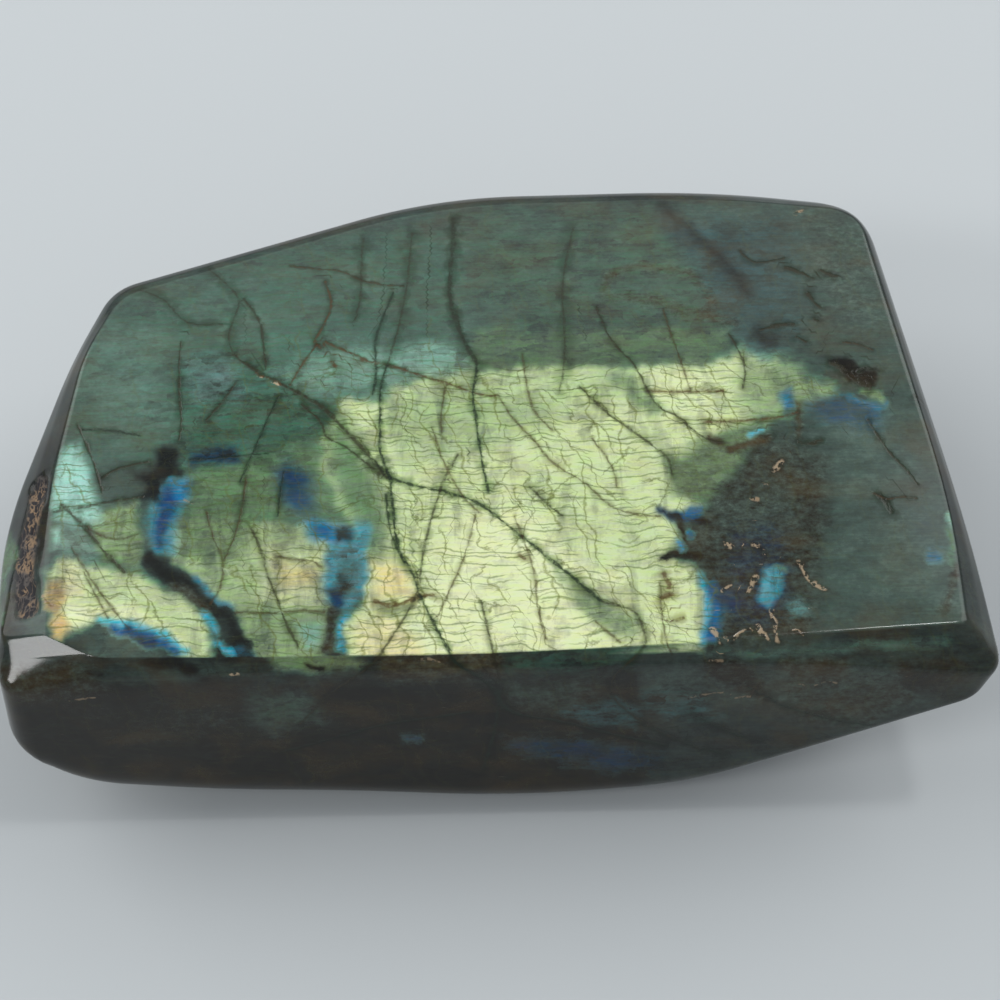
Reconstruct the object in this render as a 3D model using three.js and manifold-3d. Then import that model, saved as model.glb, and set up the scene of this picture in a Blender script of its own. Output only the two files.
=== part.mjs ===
// A hand-polished labradorite freeform, in millimetres. It lies on a small flat ground on its back, with the
// polished face up (+Z). +X runs along its length and +Y from the cut foot to the curved top edge.
// The origin is on the rest flat. The foot is a plane too, so the stone can also be stood upright on it.
import * as THREE from "three";
import { mergeVertices } from "three/addons/utils/BufferGeometryUtils.js";
import Module from "manifold-3d";

// Driving dimensions
const faceHeight = 40; // rim of the polished face above the rest flat
const faceCrown = 0.9; // rise of the face from its rim to its middle
const footLean = 12; // degrees that the foot leans out from the face's normal
const footTop = { y: -40.05, z: 38.1 }; // a point of the foot plane, under the face's front rim
const bevelBulge = 0.25; // how far the bevel round the face stands out, half-way down it

// How much of a section is rounded away at each of its edges, unless a corner says otherwise
const edgeSoftness = { face: 0.5, shoulder: 0.5, girdle: 1.0, keel: 5, rest: 5 };
const mostRounding = 0.45; // of the way to a neighbour, so that two roundings never meet

const stepsRoundCorner = 5;
const stepsAlongSide = 3;
const stepsRoundEdge = { face: 2, shoulder: 1, girdle: 2, keel: 4, rest: 3 };
const stepsAcross = { face: 5, facet: 3, bevel: 1, wall: 3, back: 3 };

// The plane of the foot: y for a given height
const footY = (z) => footTop.y - (footTop.z - z) * Math.tan(THREE.MathUtils.degToRad(footLean));
const onFoot = (x, z) => [x, footY(z), z];

// The stone's corners, counter-clockwise seen from above. Each has its place on outlines that lie one above the
// other: the face's rim, the shoulder on the bevel, the girdle under it, the keel at the foot of the side walls,
// and the rest flat. A corner that gives no shoulder has it half-way down its bevel.
// soft is how far before the corner the rounding starts on the face, shoulder, girdle, keel and rest outlines.
const corners = [
  { name: "front left", face: [-63.2, -36.25], shoulder: [-73.5, -36.3, 37.4], girdle: onFoot(-75.6, 35.4),
    keel: onFoot(-77.4, 18.8), rest: [-54, -28], soft: [3, 2, 3, 8, 6] },
  { name: "end of the corner facet", face: [-60.3, -37.7], shoulder: [-60.1, -37.8, 39.9],
    girdle: onFoot(-61, 36.0), keel: onFoot(-68, 9.6), rest: [-49, -32], soft: [2, 1, 6, 6, 4],
    edge: { girdle: 2.2 } },
  { name: "foot, left", face: [-38, -38.2], girdle: onFoot(-42, 37.2), keel: onFoot(-49, 6.8), rest: [-38, -36],
    soft: [8, 8, 8, 8, 6], edge: { girdle: 2.0 } },
  { name: "foot, middle", face: [2, -38.3], girdle: onFoot(-3, 38.1), keel: onFoot(4, 2.6), rest: [-4, -38],
    soft: [16, 16, 16, 14, 12] },
  { name: "foot, right", face: [38, -36.5], girdle: onFoot(40, 38.7), keel: onFoot(28, 5.2), rest: [21, -35],
    soft: [10, 14, 14, 8, 8] },
  { name: "front right", face: [69.2, -34.9], girdle: onFoot(75.4, 34.2), keel: onFoot(72.8, 29.0),
    rest: [33, -27], soft: [1.5, 2, 4, 3, 8], edge: { keel: 1.6 } },
  { name: "right side", face: [69.4, -14], girdle: [72.6, -16, 36.2], keel: [70.5, -14, 25], rest: [36, -7],
    soft: [14, 14, 14, 14, 10] },
  { name: "top right", face: [61.2, 42.6], girdle: [62.7, 45.8, 37], keel: [59, 46, 21], rest: [27, 18],
    soft: [5, 7, 9, 12, 10], edge: { face: 1.0 } },
  { name: "top, right", face: [36, 45.9], girdle: [36, 49.2, 38], keel: [35, 50, 18], rest: [10, 25],
    soft: [12, 13, 14, 14, 8] },
  { name: "top, left", face: [-10, 45.2], girdle: [-10, 48.9, 38], keel: [-12, 50, 16], rest: [-18, 25],
    soft: [14, 14, 14, 14, 8] },
  { name: "left shoulder", face: [-61.3, 28.1], girdle: [-63.6, 30.9, 38.2], keel: [-63, 32, 18], rest: [-44, 16],
    soft: [3.5, 4, 4, 9, 8] },
  { name: "left, upper", face: [-66.8, 17], girdle: [-69.9, 17.6, 36], keel: [-70.5, 18, 16], rest: [-51, 5],
    soft: [5, 6, 7, 9, 7] },
  { name: "left, middle", face: [-70, -8], girdle: [-78.4, -11.5, 33], keel: [-77.4, -12, 15], rest: [-56, -9],
    soft: [10, 9, 9, 10, 6] },
  { name: "left, lower", face: [-68.9, -33.4], shoulder: [-75.6, -32.7, 38.4], girdle: [-77.2, -31, 35.4],
    keel: [-78.2, -31, 17], rest: [-57, -20], soft: [1.2, 1.2, 3, 9, 6] },
];
const outlines = ["face", "shoulder", "girdle", "keel", "rest"];
const outlineHeight = { face: faceHeight, rest: 0 }; // the two outlines that lie level

// Small hollows: the pits of the rough patch of matrix on the left bevel, and chips along the face's front rim.
// Each is a flattened ball: where its middle is, its half sizes along X, Y and Z, and how many degrees it is
// turned about Z.
const hollows = [
  { name: "rough patch, tip", at: [-72.4, -9.0, 38.0], half: [0.7, 1.7, 0.8], turn: 14 },
  { name: "rough patch, top", at: [-73.0, -12.2, 37.8], half: [1.1, 1.4, 0.9], turn: -8 },
  { name: "rough patch, upper left", at: [-73.5, -15.9, 37.8], half: [0.9, 1.5, 1.0], turn: 20 },
  { name: "rough patch, upper right", at: [-71.9, -15.1, 38.6], half: [0.5, 2.0, 0.7], turn: -10 },
  { name: "rough patch, middle left", at: [-74.0, -19.9, 37.8], half: [0.8, 1.2, 0.8], turn: 35 },
  { name: "rough patch, middle right", at: [-72.3, -19.1, 38.5], half: [1.0, 1.3, 0.8], turn: -25 },
  { name: "rough patch, lower left", at: [-73.4, -22.9, 38.3], half: [1.2, 0.9, 0.8], turn: 10 },
  { name: "rough patch, lower right", at: [-71.5, -23.3, 39.1], half: [0.6, 1.6, 0.7], turn: -16 },
  { name: "rough patch, foot left", at: [-73.5, -25.8, 38.4], half: [0.5, 1.5, 0.6], turn: 8 },
  { name: "rough patch, foot right", at: [-72.2, -27.4, 39.0], half: [0.6, 1.1, 0.6], turn: -30 },
  { name: "rim chip, left", at: [31.4, -37.3, 39.9], half: [1.0, 0.8, 0.6], turn: 0 },
  { name: "rim chip, middle", at: [34.8, -37.0, 39.95], half: [1.4, 0.7, 0.6], turn: 12 },
  { name: "rim chip, right", at: [39.1, -37.1, 39.9], half: [1.2, 0.8, 0.7], turn: -8 },
];

const colours = { stone: 0x3f4a45 };

// The point on the way from a corner to its neighbour where the corner's rounding starts
function cutBack(corner, neighbour, soft) {
  const reach = Math.min(soft, mostRounding * corner.distanceTo(neighbour));
  return corner.clone().add(neighbour.clone().sub(corner).setLength(reach));
}

// Where a corner's shoulder is when it isn't given
function middleOfBevel({ face, girdle }) {
  const rim = new THREE.Vector3(...face, faceHeight);
  const foot = new THREE.Vector3(...girdle);
  const outwards = new THREE.Vector3(foot.x - rim.x, foot.y - rim.y, rim.z - foot.z).normalize();
  return rim.lerp(foot, 0.5).addScaledVector(outwards, bevelBulge);
}

function cornerPoint(corner, outline) {
  if (outline === "shoulder" && !corner.shoulder) return middleOfBevel(corner);
  const [x, y, z = outlineHeight[outline]] = corner[outline];
  return new THREE.Vector3(x, y, z);
}

// One closed outline as a list of points, with its corners rounded by curves
function outlinePoints(outline) {
  const level = outlines.indexOf(outline);
  const at = corners.map((corner) => cornerPoint(corner, outline));
  const next = (i) => (i + 1) % at.length;
  const before = (i) => (i + at.length - 1) % at.length;
  const towards = (i, j) => cutBack(at[i], at[j], corners[i].soft[level]);

  const points = [];
  at.forEach((corner, i) => {
    const entry = towards(i, before(i));
    const exit = towards(i, next(i));
    points.push(...new THREE.QuadraticBezierCurve3(entry, corner, exit).getPoints(stepsRoundCorner - 1));
    const nextEntry = towards(next(i), i);
    for (let s = 1; s <= stepsAlongSide; s++) {
      points.push(exit.clone().lerp(nextEntry, s / (stepsAlongSide + 1)));
    }
  });
  return points;
}

// The corner that a station of the outlines belongs to
const cornerOf = (station) => corners[Math.floor(station / (stepsRoundCorner + stepsAlongSide))];

// One section of the stone, from the middle of the face over the rim and round to the rest flat
function sectionPoints(station, rings, middle) {
  const soft = { ...edgeSoftness, ...cornerOf(station).edge };
  const line = [middle, ...rings.map((ring) => ring[station]), new THREE.Vector3(0, 0, 0)];
  const rounded = outlines.map((outline, k) => {
    const [from, corner, to] = line.slice(k, k + 3);
    const start = cutBack(corner, from, soft[outline]);
    const end = cutBack(corner, to, soft[outline]);
    return new THREE.QuadraticBezierCurve3(start, corner, end).getPoints(stepsRoundEdge[outline]);
  });

  const across = (from, to, steps) =>
    Array.from({ length: steps - 1 }, (_, s) => from.clone().lerp(to, (s + 1) / steps));
  const stretches = Object.values(stepsAcross);
  const points = rounded.flatMap((edge, k) => {
    const start = k === 0 ? middle : rounded[k - 1][rounded[k - 1].length - 1];
    return [...across(start, edge[0], stretches[k]), ...edge];
  });

  // The face is slightly domed, so that its polish catches the light as a real one does
  points.slice(0, stepsAcross.face).forEach((point, s) => {
    const share = (s + 1) / stepsAcross.face;
    point.z += faceCrown * (1 - share * share);
  });
  return points;
}

// The stone as one closed mesh: sections side by side, with a fan at the middle of the face and of the rest flat
function stoneGeometry() {
  const rings = outlines.map(outlinePoints);
  const middle = new THREE.Vector3(0, 4, faceHeight);
  const sections = rings[0].map((_, station) => sectionPoints(station, rings, middle));
  const stations = sections.length;
  const rows = sections[0].length;

  const crownTop = middle.clone().add(new THREE.Vector3(0, 0, faceCrown));
  const vertices = [crownTop, new THREE.Vector3(0, 0, 0), ...sections.flat()];
  const vertexAt = (station, row) => 2 + (station % stations) * rows + row;
  const faces = [];
  for (let s = 0; s < stations; s++) {
    faces.push(0, vertexAt(s, 0), vertexAt(s + 1, 0));
    for (let r = 0; r < rows - 1; r++) {
      faces.push(vertexAt(s, r), vertexAt(s, r + 1), vertexAt(s + 1, r));
      faces.push(vertexAt(s + 1, r), vertexAt(s, r + 1), vertexAt(s + 1, r + 1));
    }
    faces.push(1, vertexAt(s + 1, rows - 1), vertexAt(s, rows - 1));
  }
  const geometry = new THREE.BufferGeometry().setFromPoints(vertices);
  geometry.setIndex(faces);
  return geometry;
}

const wasm = await Module();
wasm.setup();

function toSolid(geometry) {
  const bare = geometry.clone();
  bare.deleteAttribute("normal");
  bare.deleteAttribute("uv");
  const merged = mergeVertices(bare, 1e-4);
  return new wasm.Manifold(
    new wasm.Mesh({
      numProp: 3,
      vertProperties: new Float32Array(merged.attributes.position.array),
      triVerts: new Uint32Array(merged.index.array),
    }),
  );
}

function toGeometry(solid) {
  const mesh = solid.getMesh();
  const geometry = new THREE.BufferGeometry();
  geometry.setAttribute("position", new THREE.BufferAttribute(new Float32Array(mesh.vertProperties), 3));
  geometry.setIndex(new THREE.BufferAttribute(new Uint32Array(mesh.triVerts), 1));
  geometry.computeVertexNormals();
  return geometry;
}

function hollowGeometry({ at, half, turn }) {
  return new THREE.IcosahedronGeometry(1, 1)
    .scale(...half)
    .rotateZ(THREE.MathUtils.degToRad(turn))
    .translate(...at);
}

const stoneSolid = hollows.reduce(
  (solid, hollow) => solid.subtract(toSolid(hollowGeometry(hollow))),
  toSolid(stoneGeometry()),
);

const stone = new THREE.Mesh(
  toGeometry(stoneSolid),
  new THREE.MeshStandardMaterial({ color: colours.stone, roughness: 0.15, metalness: 0 }),
);
stone.name = "stone";

const freeform = new THREE.Group();
freeform.add(stone);

export default freeform;
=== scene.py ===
import math
import bpy
import numpy as np
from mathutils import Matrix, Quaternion, Vector, noise
from mathutils.bvhtree import BVHTree
from mathutils.geometry import delaunay_2d_cdt


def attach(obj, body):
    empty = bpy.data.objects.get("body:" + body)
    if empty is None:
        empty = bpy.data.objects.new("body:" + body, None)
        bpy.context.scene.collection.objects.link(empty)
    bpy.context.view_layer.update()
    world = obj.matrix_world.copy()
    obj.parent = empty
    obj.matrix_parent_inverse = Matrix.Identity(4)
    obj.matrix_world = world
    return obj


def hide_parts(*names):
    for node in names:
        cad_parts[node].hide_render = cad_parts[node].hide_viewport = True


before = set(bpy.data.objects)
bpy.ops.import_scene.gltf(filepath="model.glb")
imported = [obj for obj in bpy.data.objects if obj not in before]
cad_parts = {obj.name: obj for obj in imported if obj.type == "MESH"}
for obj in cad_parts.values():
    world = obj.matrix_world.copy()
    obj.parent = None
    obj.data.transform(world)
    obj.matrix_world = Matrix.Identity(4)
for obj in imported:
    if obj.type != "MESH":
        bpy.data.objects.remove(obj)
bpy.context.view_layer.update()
mm = 0.001
scene = bpy.context.scene
scene.view_settings.view_transform = "Standard"


# The camera stands where the photograph was taken from. Its numbers are in millimetres, degrees and pixels.
photoView = {
    "frame": 1000,
    "focal": 2040.0,  # pixels
    "elevation": 60.0,
    "distance": 340.0,
    "target": (0.0, 0.0, 19.0),
    "roll": -1.2,
    "sensor": 36.0,
}


def photoAxes():
    tilt = math.radians(photoView["elevation"])
    turn = math.radians(photoView["roll"])
    back = Vector((0, -math.cos(tilt), math.sin(tilt)))
    right = Vector((1, 0, 0))
    up = Vector((0, math.sin(tilt), math.cos(tilt)))
    place = Vector(photoView["target"]) + photoView["distance"] * back
    rolledRight = right * math.cos(turn) + up * math.sin(turn)
    rolledUp = up * math.cos(turn) - right * math.sin(turn)
    return place, rolledRight, rolledUp, -back


def pixelsOf(points):
    place, right, up, forward = (np.array(axis) for axis in photoAxes())
    offset = points - place
    depth = offset @ forward
    middle = photoView["frame"] / 2
    across = middle + photoView["focal"] * (offset @ right) / depth
    down = middle - photoView["focal"] * (offset @ up) / depth
    return np.stack([across, down], axis=1)


def rayThrough(pixel):
    place, right, up, forward = photoAxes()
    middle = photoView["frame"] / 2
    across = (pixel[0] - middle) / photoView["focal"]
    down = (pixel[1] - middle) / photoView["focal"]
    return place, (forward + right * across - up * down).normalized()


def makeCamera():
    place, _, _, forward = photoAxes()
    data = bpy.data.cameras.new("camera")
    data.sensor_width = photoView["sensor"]
    data.lens = photoView["focal"] * photoView["sensor"] / photoView["frame"]
    data.clip_start = 0.01
    camera = bpy.data.objects.new("camera", data)
    camera.location = place * mm
    rolled = Quaternion((0, 0, 1), math.radians(photoView["roll"]))
    camera.rotation_mode = "QUATERNION"
    camera.rotation_quaternion = forward.to_track_quat("-Z", "Y") @ rolled
    scene.collection.objects.link(camera)
    scene.camera = camera


makeCamera()
print("camera placed")


# The stone's form: the same corners and outlines as the CAD solid, in millimetres, with a finer surface.
footTop = {"y": -40.05, "z": 38.1}
footLean = 12


def onFoot(x, z):
    return (x, footTop["y"] - (footTop["z"] - z) * math.tan(math.radians(footLean)), z)


stoneForm = {
    "faceHeight": 40.0,
    "faceCrown": 0.9,
    "bevelBulge": 0.25,
    "faceMiddle": (0.0, 4.0),
    "mostRounding": 0.45,
    "edgeSoftness": {"face": 0.5, "shoulder": 0.5, "girdle": 1.0, "keel": 5, "rest": 5},
    "spacing": 0.62,  # between points along the outlines and over the face
    "patchSpacing": 0.3,  # the same beside the rough patch
    "guard": 0.12,  # a row this far inside the rim keeps its crease crisp
    "clearance": 0.6,  # of a spacing, between that row and the points of the face
    "edgeRows": {"face": 3, "shoulder": 2, "girdle": 3, "keel": 8, "rest": 4},
    "rowsBetween": {"facet": 7, "bevel": 7, "wall": 20, "back": 14, "ground": 5},
}
outlines = ["face", "shoulder", "girdle", "keel", "rest"]
corners = [
    {"name": "front left", "face": (-63.2, -36.25), "shoulder": (-73.5, -36.3, 37.4),
     "girdle": onFoot(-75.6, 35.4), "keel": onFoot(-77.4, 18.8), "rest": (-54, -28), "soft": (3, 2, 3, 8, 6)},
    {"name": "end of the corner facet", "face": (-60.3, -37.7), "shoulder": (-60.1, -37.8, 39.9),
     "girdle": onFoot(-61, 36.0), "keel": onFoot(-68, 9.6), "rest": (-49, -32), "soft": (2, 1, 6, 6, 4),
     "edge": {"girdle": 2.2}},
    {"name": "foot, left", "face": (-38, -38.2), "girdle": onFoot(-42, 37.2), "keel": onFoot(-49, 6.8),
     "rest": (-38, -36), "soft": (8, 8, 8, 8, 6), "edge": {"girdle": 2.0}},
    {"name": "foot, middle", "face": (2, -38.3), "girdle": onFoot(-3, 38.1), "keel": onFoot(4, 2.6),
     "rest": (-4, -38), "soft": (16, 16, 16, 14, 12)},
    {"name": "foot, right", "face": (38, -36.5), "girdle": onFoot(40, 38.7), "keel": onFoot(28, 5.2),
     "rest": (21, -35), "soft": (10, 14, 14, 8, 8)},
    {"name": "front right", "face": (69.2, -34.9), "girdle": onFoot(75.4, 34.2), "keel": onFoot(72.8, 29.0),
     "rest": (33, -27), "soft": (1.5, 2, 4, 3, 8), "edge": {"keel": 1.6}},
    {"name": "right side", "face": (69.4, -14), "girdle": (72.6, -16, 36.2), "keel": (70.5, -14, 25),
     "rest": (36, -7), "soft": (14, 14, 14, 14, 10)},
    {"name": "top right", "face": (61.2, 42.6), "girdle": (62.7, 45.8, 37), "keel": (59, 46, 21),
     "rest": (27, 18), "soft": (5, 7, 9, 12, 10), "edge": {"face": 1.0}},
    {"name": "top, right", "face": (36, 45.9), "girdle": (36, 49.2, 38), "keel": (35, 50, 18),
     "rest": (10, 25), "soft": (12, 13, 14, 14, 8)},
    {"name": "top, left", "face": (-10, 45.2), "girdle": (-10, 48.9, 38), "keel": (-12, 50, 16),
     "rest": (-18, 25), "soft": (14, 14, 14, 14, 8)},
    {"name": "left shoulder", "face": (-61.3, 28.1), "girdle": (-63.6, 30.9, 38.2), "keel": (-63, 32, 18),
     "rest": (-44, 16), "soft": (3.5, 4, 4, 9, 8)},
    {"name": "left, upper", "face": (-66.8, 17), "girdle": (-69.9, 17.6, 36), "keel": (-70.5, 18, 16),
     "rest": (-51, 5), "soft": (5, 6, 7, 9, 7)},
    {"name": "left, middle", "face": (-70, -8), "girdle": (-78.4, -11.5, 33), "keel": (-77.4, -12, 15),
     "rest": (-56, -9), "soft": (10, 9, 9, 10, 6)},
    {"name": "left, lower", "face": (-68.9, -33.4), "shoulder": (-75.6, -32.7, 38.4),
     "girdle": (-77.2, -31, 35.4), "keel": (-78.2, -31, 17), "rest": (-57, -20),
     "soft": (1.2, 1.2, 3, 9, 6)},
]
roughSide = 12  # the side that starts at "left, middle" has the rough patch on its bevel


def lengths(vectors):
    return np.linalg.norm(vectors, axis=-1, keepdims=True)


def cutBack(corner, neighbour, soft):
    away = neighbour - corner
    far = lengths(away)
    return corner + away / far * np.minimum(soft, stoneForm["mostRounding"] * far)


def curvePoints(start, corner, end, steps):
    t = np.linspace(0, 1, steps + 1).reshape(-1, *([1] * start.ndim))
    return (1 - t) ** 2 * start + 2 * t * (1 - t) * corner + t**2 * end


def cornerPoint(corner, outline):
    if outline == "shoulder" and "shoulder" not in corner:  # half-way down the bevel
        rim = np.array([*corner["face"], stoneForm["faceHeight"]])
        foot = np.array(corner["girdle"])
        outwards = np.array([foot[0] - rim[0], foot[1] - rim[1], rim[2] - foot[2]])
        return (rim + foot) / 2 + outwards / np.linalg.norm(outwards) * stoneForm["bevelBulge"]
    level = {"face": stoneForm["faceHeight"], "rest": 0.0}
    place = corner[outline]
    return np.array([*place, level[outline]] if len(place) == 2 else place, dtype=float)


def softAt(corner, outline):
    return corner.get("edge", {}).get(outline, stoneForm["edgeSoftness"][outline])


def makeOutlines():
    count = len(corners)
    at = {name: [cornerPoint(corner, name) for corner in corners] for name in outlines}
    ends = {}
    for level, name in enumerate(outlines):
        ends[name] = [
            [cutBack(at[name][i], at[name][(i + way) % count], corners[i]["soft"][level]) for way in (-1, 1)]
            for i in range(count)
        ]

    def stepsFor(i, start, end):
        spacing = stoneForm["patchSpacing"] if i == roughSide else stoneForm["spacing"]
        return max(3, round(float(np.linalg.norm(end - start)) / spacing))

    rings = {name: [] for name in outlines}
    softness = {name: [] for name in outlines}
    for i in range(count):
        after = (i + 1) % count
        bend = stepsFor(i, *ends["girdle"][i])
        side = stepsFor(i, ends["girdle"][i][1], ends["girdle"][after][0])
        for name in outlines:
            start, end = ends[name][i]
            following = ends[name][after][0]
            rings[name].append(curvePoints(start, at[name][i], end, bend))
            t = (np.arange(1, side) / side)[:, None]
            rings[name].append(end + t * (following - end))
            here, there = softAt(corners[i], name), softAt(corners[after], name)
            softness[name].append(np.full((bend + 1, 1), here))
            softness[name].append(here + t * (there - here))
    rings = {name: np.concatenate(parts) for name, parts in rings.items()}
    softness = {name: np.concatenate(parts) for name, parts in softness.items()}
    return rings, softness


def stoneRows():
    rings, softness = makeOutlines()
    stations = len(rings["face"])
    middle = np.array([*stoneForm["faceMiddle"], stoneForm["faceHeight"]])
    line = [np.tile(middle, (stations, 1)), *(rings[name] for name in outlines), np.zeros((stations, 3))]
    edges = []
    for k, name in enumerate(outlines):
        before, corner, after = line[k : k + 3]
        start = cutBack(corner, before, softness[name])
        end = cutBack(corner, after, softness[name])
        edges.append(list(curvePoints(start, corner, end, stoneForm["edgeRows"][name])))
    rows = [*edges[0]]
    between = list(stoneForm["rowsBetween"].values())
    for k, edge in enumerate(edges[1:]):
        start = rows[-1]
        rows += [start + (edge[0] - start) * s / between[k] for s in range(1, between[k])]
        rows += edge
    start = rows[-1]
    rows += [start + (line[-1] - start) * s / between[-1] for s in range(1, between[-1])]
    guard = cutBack(rows[0], line[0], stoneForm["guard"])
    return [guard, *rows]


def crownAt(points, rim):
    # how far a point of the face rises: by its share of the way from the face's middle to the rim
    middle = np.array(stoneForm["faceMiddle"])
    spokes = rim[:, :2] - middle
    turns = np.arctan2(spokes[:, 1], spokes[:, 0])
    order = np.argsort(turns)
    away = points[:, :2] - middle
    turn = np.arctan2(away[:, 1], away[:, 0])
    reach = np.interp(turn, turns[order], lengths(spokes)[order, 0], period=2 * math.pi)
    share = np.minimum(lengths(away)[:, 0] / reach, 1)
    return stoneForm["faceCrown"] * (1 - share**2), reach * (1 - share)


def makeStone():
    rows = stoneRows()
    guard, rim = rows[0], rows[1]
    guard[:, 2] += crownAt(guard, rim)[0]
    stations = len(rim)

    spacing = stoneForm["spacing"]
    low, high = guard.min(axis=0), guard.max(axis=0)
    xs = np.arange(low[0], high[0], spacing)
    ys = np.arange(low[1], high[1], spacing * math.sqrt(0.75))  # rows of even triangles
    grid = np.array([[x + (j % 2) * spacing / 2, y, 0] for j, y in enumerate(ys) for x in xs])
    rise, toRim = crownAt(grid, rim)
    inside = toRim > stoneForm["guard"] + stoneForm["clearance"] * spacing
    face = grid[inside]
    face[:, 2] = stoneForm["faceHeight"] + rise[inside]

    flat = [Vector(point[:2]) for point in np.concatenate([guard, face])]
    ring = list(range(stations))
    triangles, sources = delaunay_2d_cdt(flat, [], [ring], 1, 1e-6)[2:4]  # 1 keeps what lies inside the ring
    bodyRows = np.concatenate(rows)
    points = np.concatenate([bodyRows, face, [[0, 0, 0]]])
    firstFace = len(bodyRows) - stations

    def pointOf(corner):
        source = sources[corner][0]
        return source if source < stations else source + firstFace

    faces = [[pointOf(corner) for corner in triangle] for triangle in triangles]
    for r in range(len(rows) - 1):
        for s in range(stations):
            after = (s + 1) % stations
            upper, lower = r * stations, (r + 1) * stations
            faces.append([upper + s, lower + s, lower + after, upper + after])
    last = (len(rows) - 1) * stations
    bottom = len(points) - 1
    faces += [[bottom, last + (s + 1) % stations, last + s] for s in range(stations)]

    mesh = bpy.data.meshes.new("stoneBody")
    mesh.from_pydata((points * mm).tolist(), [], faces)
    mesh.polygons.foreach_set("use_smooth", np.ones(len(mesh.polygons), dtype=bool))
    mesh.update()
    stone = bpy.data.objects.new("stoneBody", mesh)
    scene.collection.objects.link(stone)
    triangleCount = sum(len(face) - 2 for face in faces)
    print("stone surface:", len(points), "points,", triangleCount, "triangles")
    return stone, points


stoneBody, stonePoints = makeStone()
stonePixels = pixelsOf(stonePoints)


# Where the markings lie. They are drawn as outlines and lines in the photograph's own pixels.
def surfacePoint(pixel, tree):
    place, direction = rayThrough(pixel)
    hit = tree.ray_cast(place * mm, direction)[0]
    return None if hit is None else hit / mm


def smoothStep(value, low, high):
    t = np.clip((value - low) / (high - low), 0, 1)
    return t * t * (3 - 2 * t)


def toLine(points, line):
    # the offset of each point from the nearest place on a line of straight stretches
    best = np.full(len(points), np.inf)
    nearest = np.zeros_like(points)
    for start, end in zip(line[:-1], line[1:]):
        along = end - start
        share = np.clip(((points - start) @ along) / max(along @ along, 1e-9), 0, 1)
        offset = start + share[:, None] * along - points
        far = (offset**2).sum(axis=1)
        closer = far < best
        best[closer] = far[closer]
        nearest[closer] = offset[closer]
    return nearest, np.sqrt(best)


def insideBy(points, outline):
    # how far inside a closed outline each point lies, and less than nothing outside it
    ring = np.array(outline, dtype=float)
    closed = np.concatenate([ring, ring[:1]])
    _, distance = toLine(points, closed)
    crossings = np.zeros(len(points), dtype=int)
    for (x0, y0), (x1, y1) in zip(closed[:-1], closed[1:]):
        spans = (y0 > points[:, 1]) != (y1 > points[:, 1])
        edge = x0 + (points[:, 1] - y0) / (y1 - y0 if y1 != y0 else 1e-9) * (x1 - x0)
        crossings += spans & (points[:, 0] < edge)
    return np.where(crossings % 2 == 1, distance, -distance)


def shade(red, green, blue):
    def linear(value):
        value /= 255
        return value / 12.92 if value <= 0.04045 else ((value + 0.055) / 1.055) ** 2.4

    return (linear(red), linear(green), linear(blue), 1.0)


flashOrder = [  # a labradorite's colours, from the edge of a flash inwards, as they look on a screen
    (0.00, (74, 74, 104)), (0.12, (28, 58, 98)), (0.24, (22, 106, 160)), (0.34, (96, 188, 206)),
    (0.42, (172, 218, 198)), (0.50, (88, 138, 114)), (0.60, (134, 166, 116)), (0.70, (186, 208, 154)),
    (0.78, (216, 228, 174)), (0.84, (232, 239, 190)), (0.91, (230, 206, 142)), (1.00, (216, 152, 84)),
]


def flashColour(hue):
    stops = [stop for stop, _ in flashOrder]
    colours = np.array([shade(*colour) for _, colour in flashOrder])
    return np.array([np.interp(hue, stops, colours[:, i]) for i in range(3)])


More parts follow.
